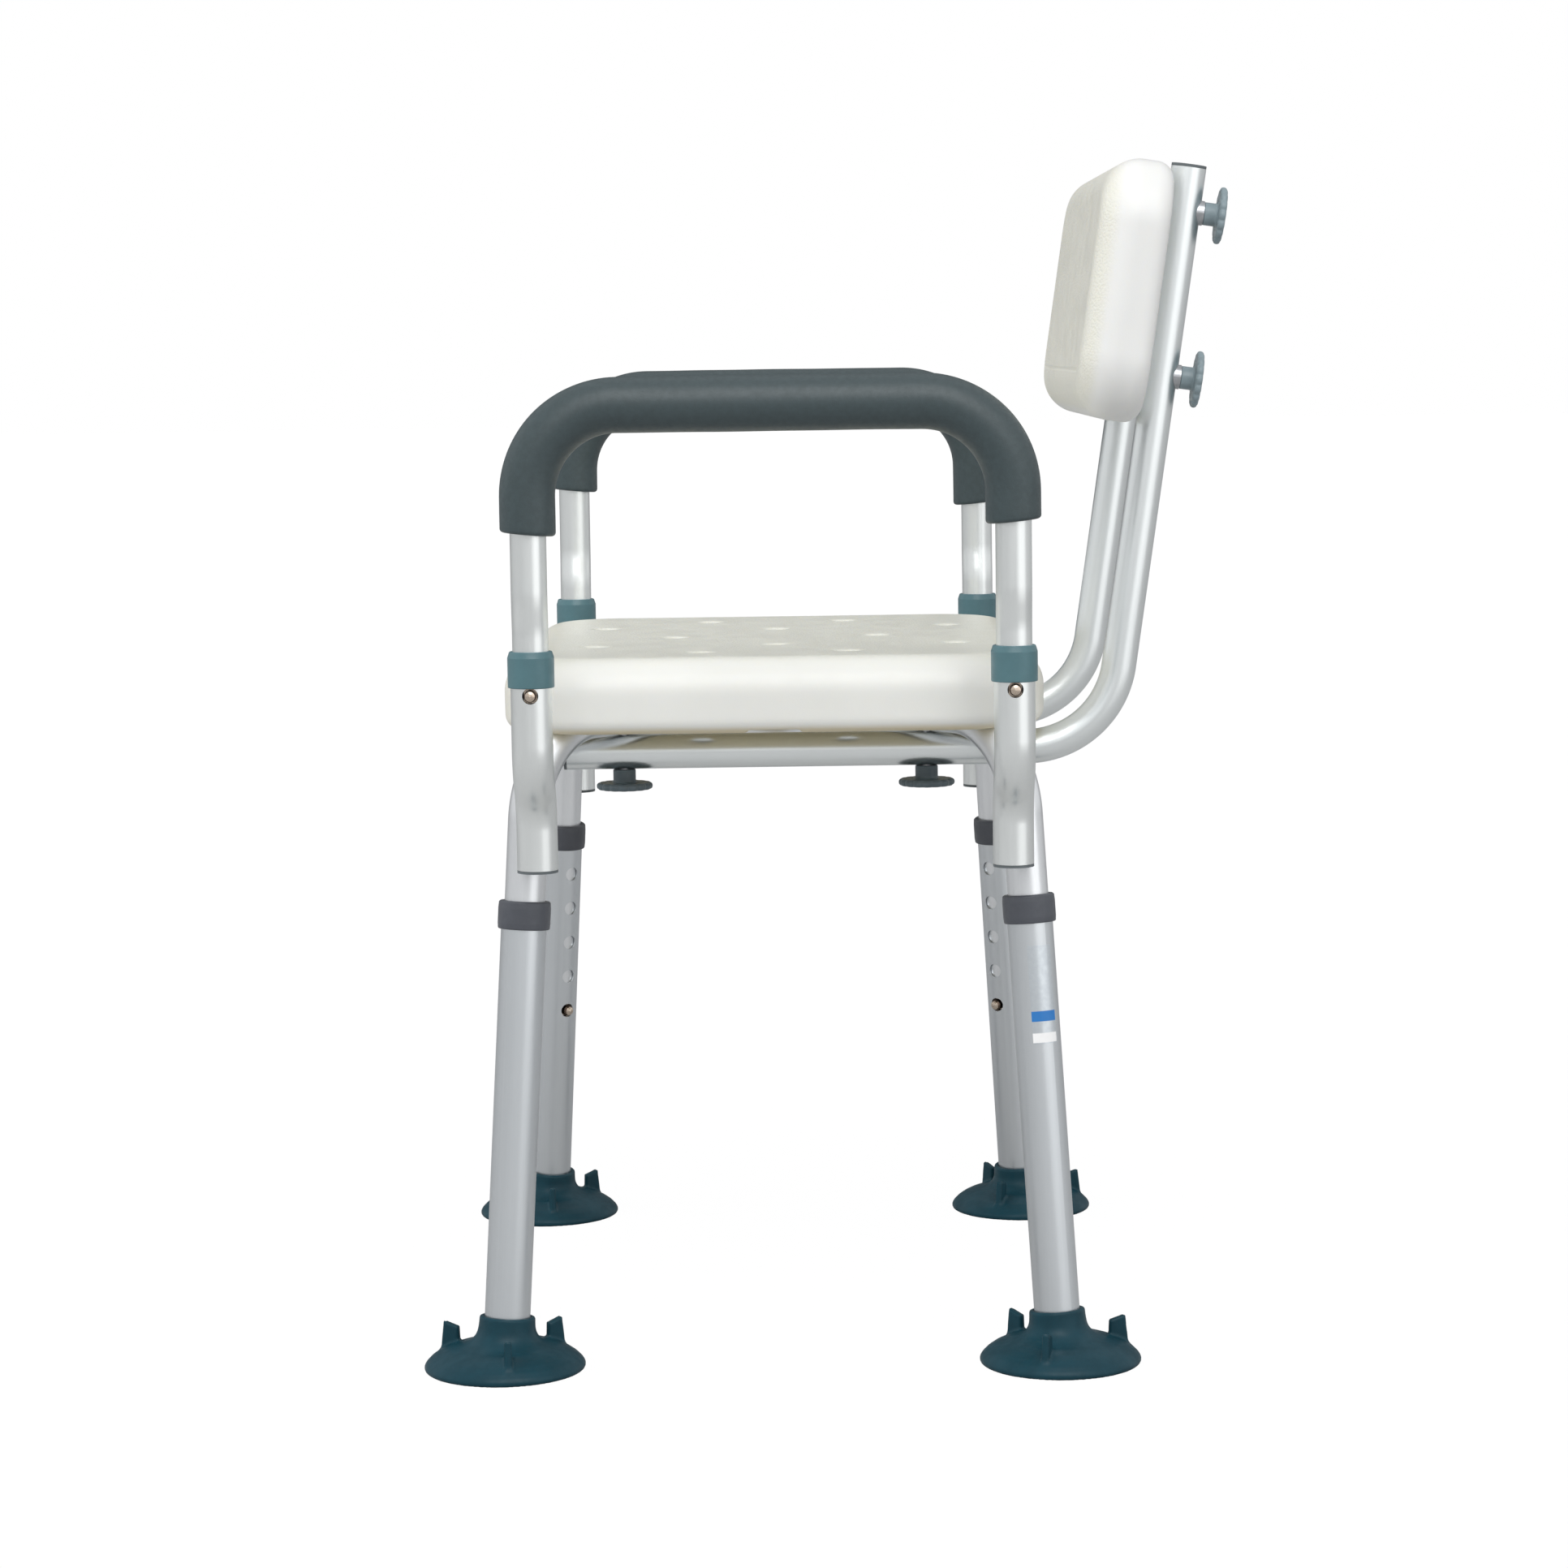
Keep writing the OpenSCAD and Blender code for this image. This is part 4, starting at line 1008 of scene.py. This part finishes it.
def floor():
    """Pale floor that fades to plain white. It is clear from below, and almost clear for the camera, so that
    feet on legs drawn out past it still show."""
    half, veil = 30, 0.06
    corners = [(-half, -half, 0), (half, -half, 0), (half, half, 0), (-half, half, 0)]
    data = bpy.data.meshes.new("floor")
    data.from_pydata(corners, [], [(0, 1, 2, 3)])
    n = Look("floor")
    n.set(Base_Color=n.mix(n.noise(3, 2), (0.47, 0.47, 0.47), (0.45, 0.45, 0.45)))
    n.set(Roughness=0.9, Specular_IOR_Level=0.1)
    far = n.add("ShaderNodeVectorMath", operation="LENGTH")
    n.feed(far.inputs[0], n.where)
    glow, both = n.add("ShaderNodeEmission"), n.add("ShaderNodeAddShader")
    n.feed(glow.inputs["Strength"], n.ramp(far.outputs["Value"], 0.3, 2.4, 0.62, 1.0))
    n.feed(both.inputs[0], n.shader.outputs[0])
    n.feed(both.inputs[1], glow.outputs[0])
    clear = n.add("ShaderNodeBsdfTransparent").outputs[0]
    for_camera = n.blend(veil, clear, both.outputs[0])
    above = n.blend(n.add("ShaderNodeLightPath").outputs["Is Camera Ray"], n.shader.outputs[0], for_camera)
    from_below = n.add("ShaderNodeNewGeometry").outputs["Backfacing"]
    n.feed(n.output.inputs[0], n.blend(from_below, above, clear))
    data.materials.append(n.material)
    ob = bpy.data.objects.new("floor", data)
    bpy.context.scene.collection.objects.link(ob)


def area_light(name, azimuth, elevation, distance, width, height, power, aim=(0, 0, 0.45)):
    """A soft rectangular light that faces aim. Azimuth is from +X towards +Y. Angles are in degrees."""
    a, e = math.radians(azimuth), math.radians(elevation)
    away = Vector((math.cos(a) * math.cos(e), math.sin(a) * math.cos(e), math.sin(e)))
    data = bpy.data.lights.new(name, "AREA")
    data.shape, data.size, data.size_y, data.energy = "RECTANGLE", width, height, power
    ob = bpy.data.objects.new(name, data)
    bpy.context.scene.collection.objects.link(ob)
    ob.location = Vector(aim) + away * distance
    ob.rotation_mode = "QUATERNION"
    ob.rotation_quaternion = (-away).to_track_quat("-Z", "Y")
    return ob


def world():
    """White for the camera. For the lights and reflections, an even room that is dimmer behind the chair."""
    studio = bpy.data.worlds.new("studio")
    bpy.context.scene.world = studio
    n = Nodes(studio)
    x, y, _ = n.xyz(n.add("ShaderNodeTexCoord").outputs["Generated"])
    room, white = n.add("ShaderNodeBackground"), n.add("ShaderNodeBackground")
    depth, width = n.ramp(x, -0.97, -0.5, 0.16, 0.78), n.ramp(y, -1, 0.9, 1.0, 1.08)
    n.feed(room.inputs["Color"], (0.98, 0.99, 1, 1))
    n.feed(room.inputs["Strength"], n.math("MULTIPLY", depth, width))
    n.feed(white.inputs["Color"], (1, 1, 1, 1))
    seen = n.blend(n.add("ShaderNodeLightPath").outputs["Is Camera Ray"], room.outputs[0], white.outputs[0])
    n.feed(n.add("ShaderNodeOutputWorld").inputs[0], seen)


def camera():
    """Looks along -X at the chair's left side, slightly downwards and a little rolled."""
    yaw, pitch, roll = (math.radians(a) for a in (-0.282, 6.114, -0.806))
    ahead = Vector((-math.cos(pitch) * math.cos(yaw), math.cos(pitch) * math.sin(yaw), -math.sin(pitch)))
    right = ahead.cross(Vector((0, 0, 1))).normalized()
    up = right.cross(ahead)
    x = math.cos(roll) * right + math.sin(roll) * up
    y = -math.sin(roll) * right + math.cos(roll) * up
    data = bpy.data.cameras.new("camera")
    data.sensor_width, data.lens = 36, 94.43935
    data.clip_start, data.clip_end = 0.05, 200
    ob = bpy.data.objects.new("camera", data)
    bpy.context.scene.collection.objects.link(ob)
    turn = Matrix((x, y, -ahead)).transposed().to_4x4()
    ob.matrix_world = Matrix.Translation((2.760, -0.01502, 0.63705)) @ turn
    bpy.context.scene.camera = ob


floor()
world()
camera()
# the key light only draws highlights, and the front light only brightens
key = area_light("key", azimuth=46, elevation=0, distance=2.0, width=1.6, height=2.2, power=7,
                 aim=(0, 0, 1.12))
key.visible_diffuse = False
front = area_light("front", azimuth=-82, elevation=18, distance=3.2, width=2.2, height=2.0, power=34)
front.visible_glossy = False
area_light("top", azimuth=4, elevation=43, distance=3.0, width=2.4, height=2.0, power=43)
bpy.context.scene.view_settings.view_transform = "Standard"
bpy.context.scene.view_settings.look = "None"
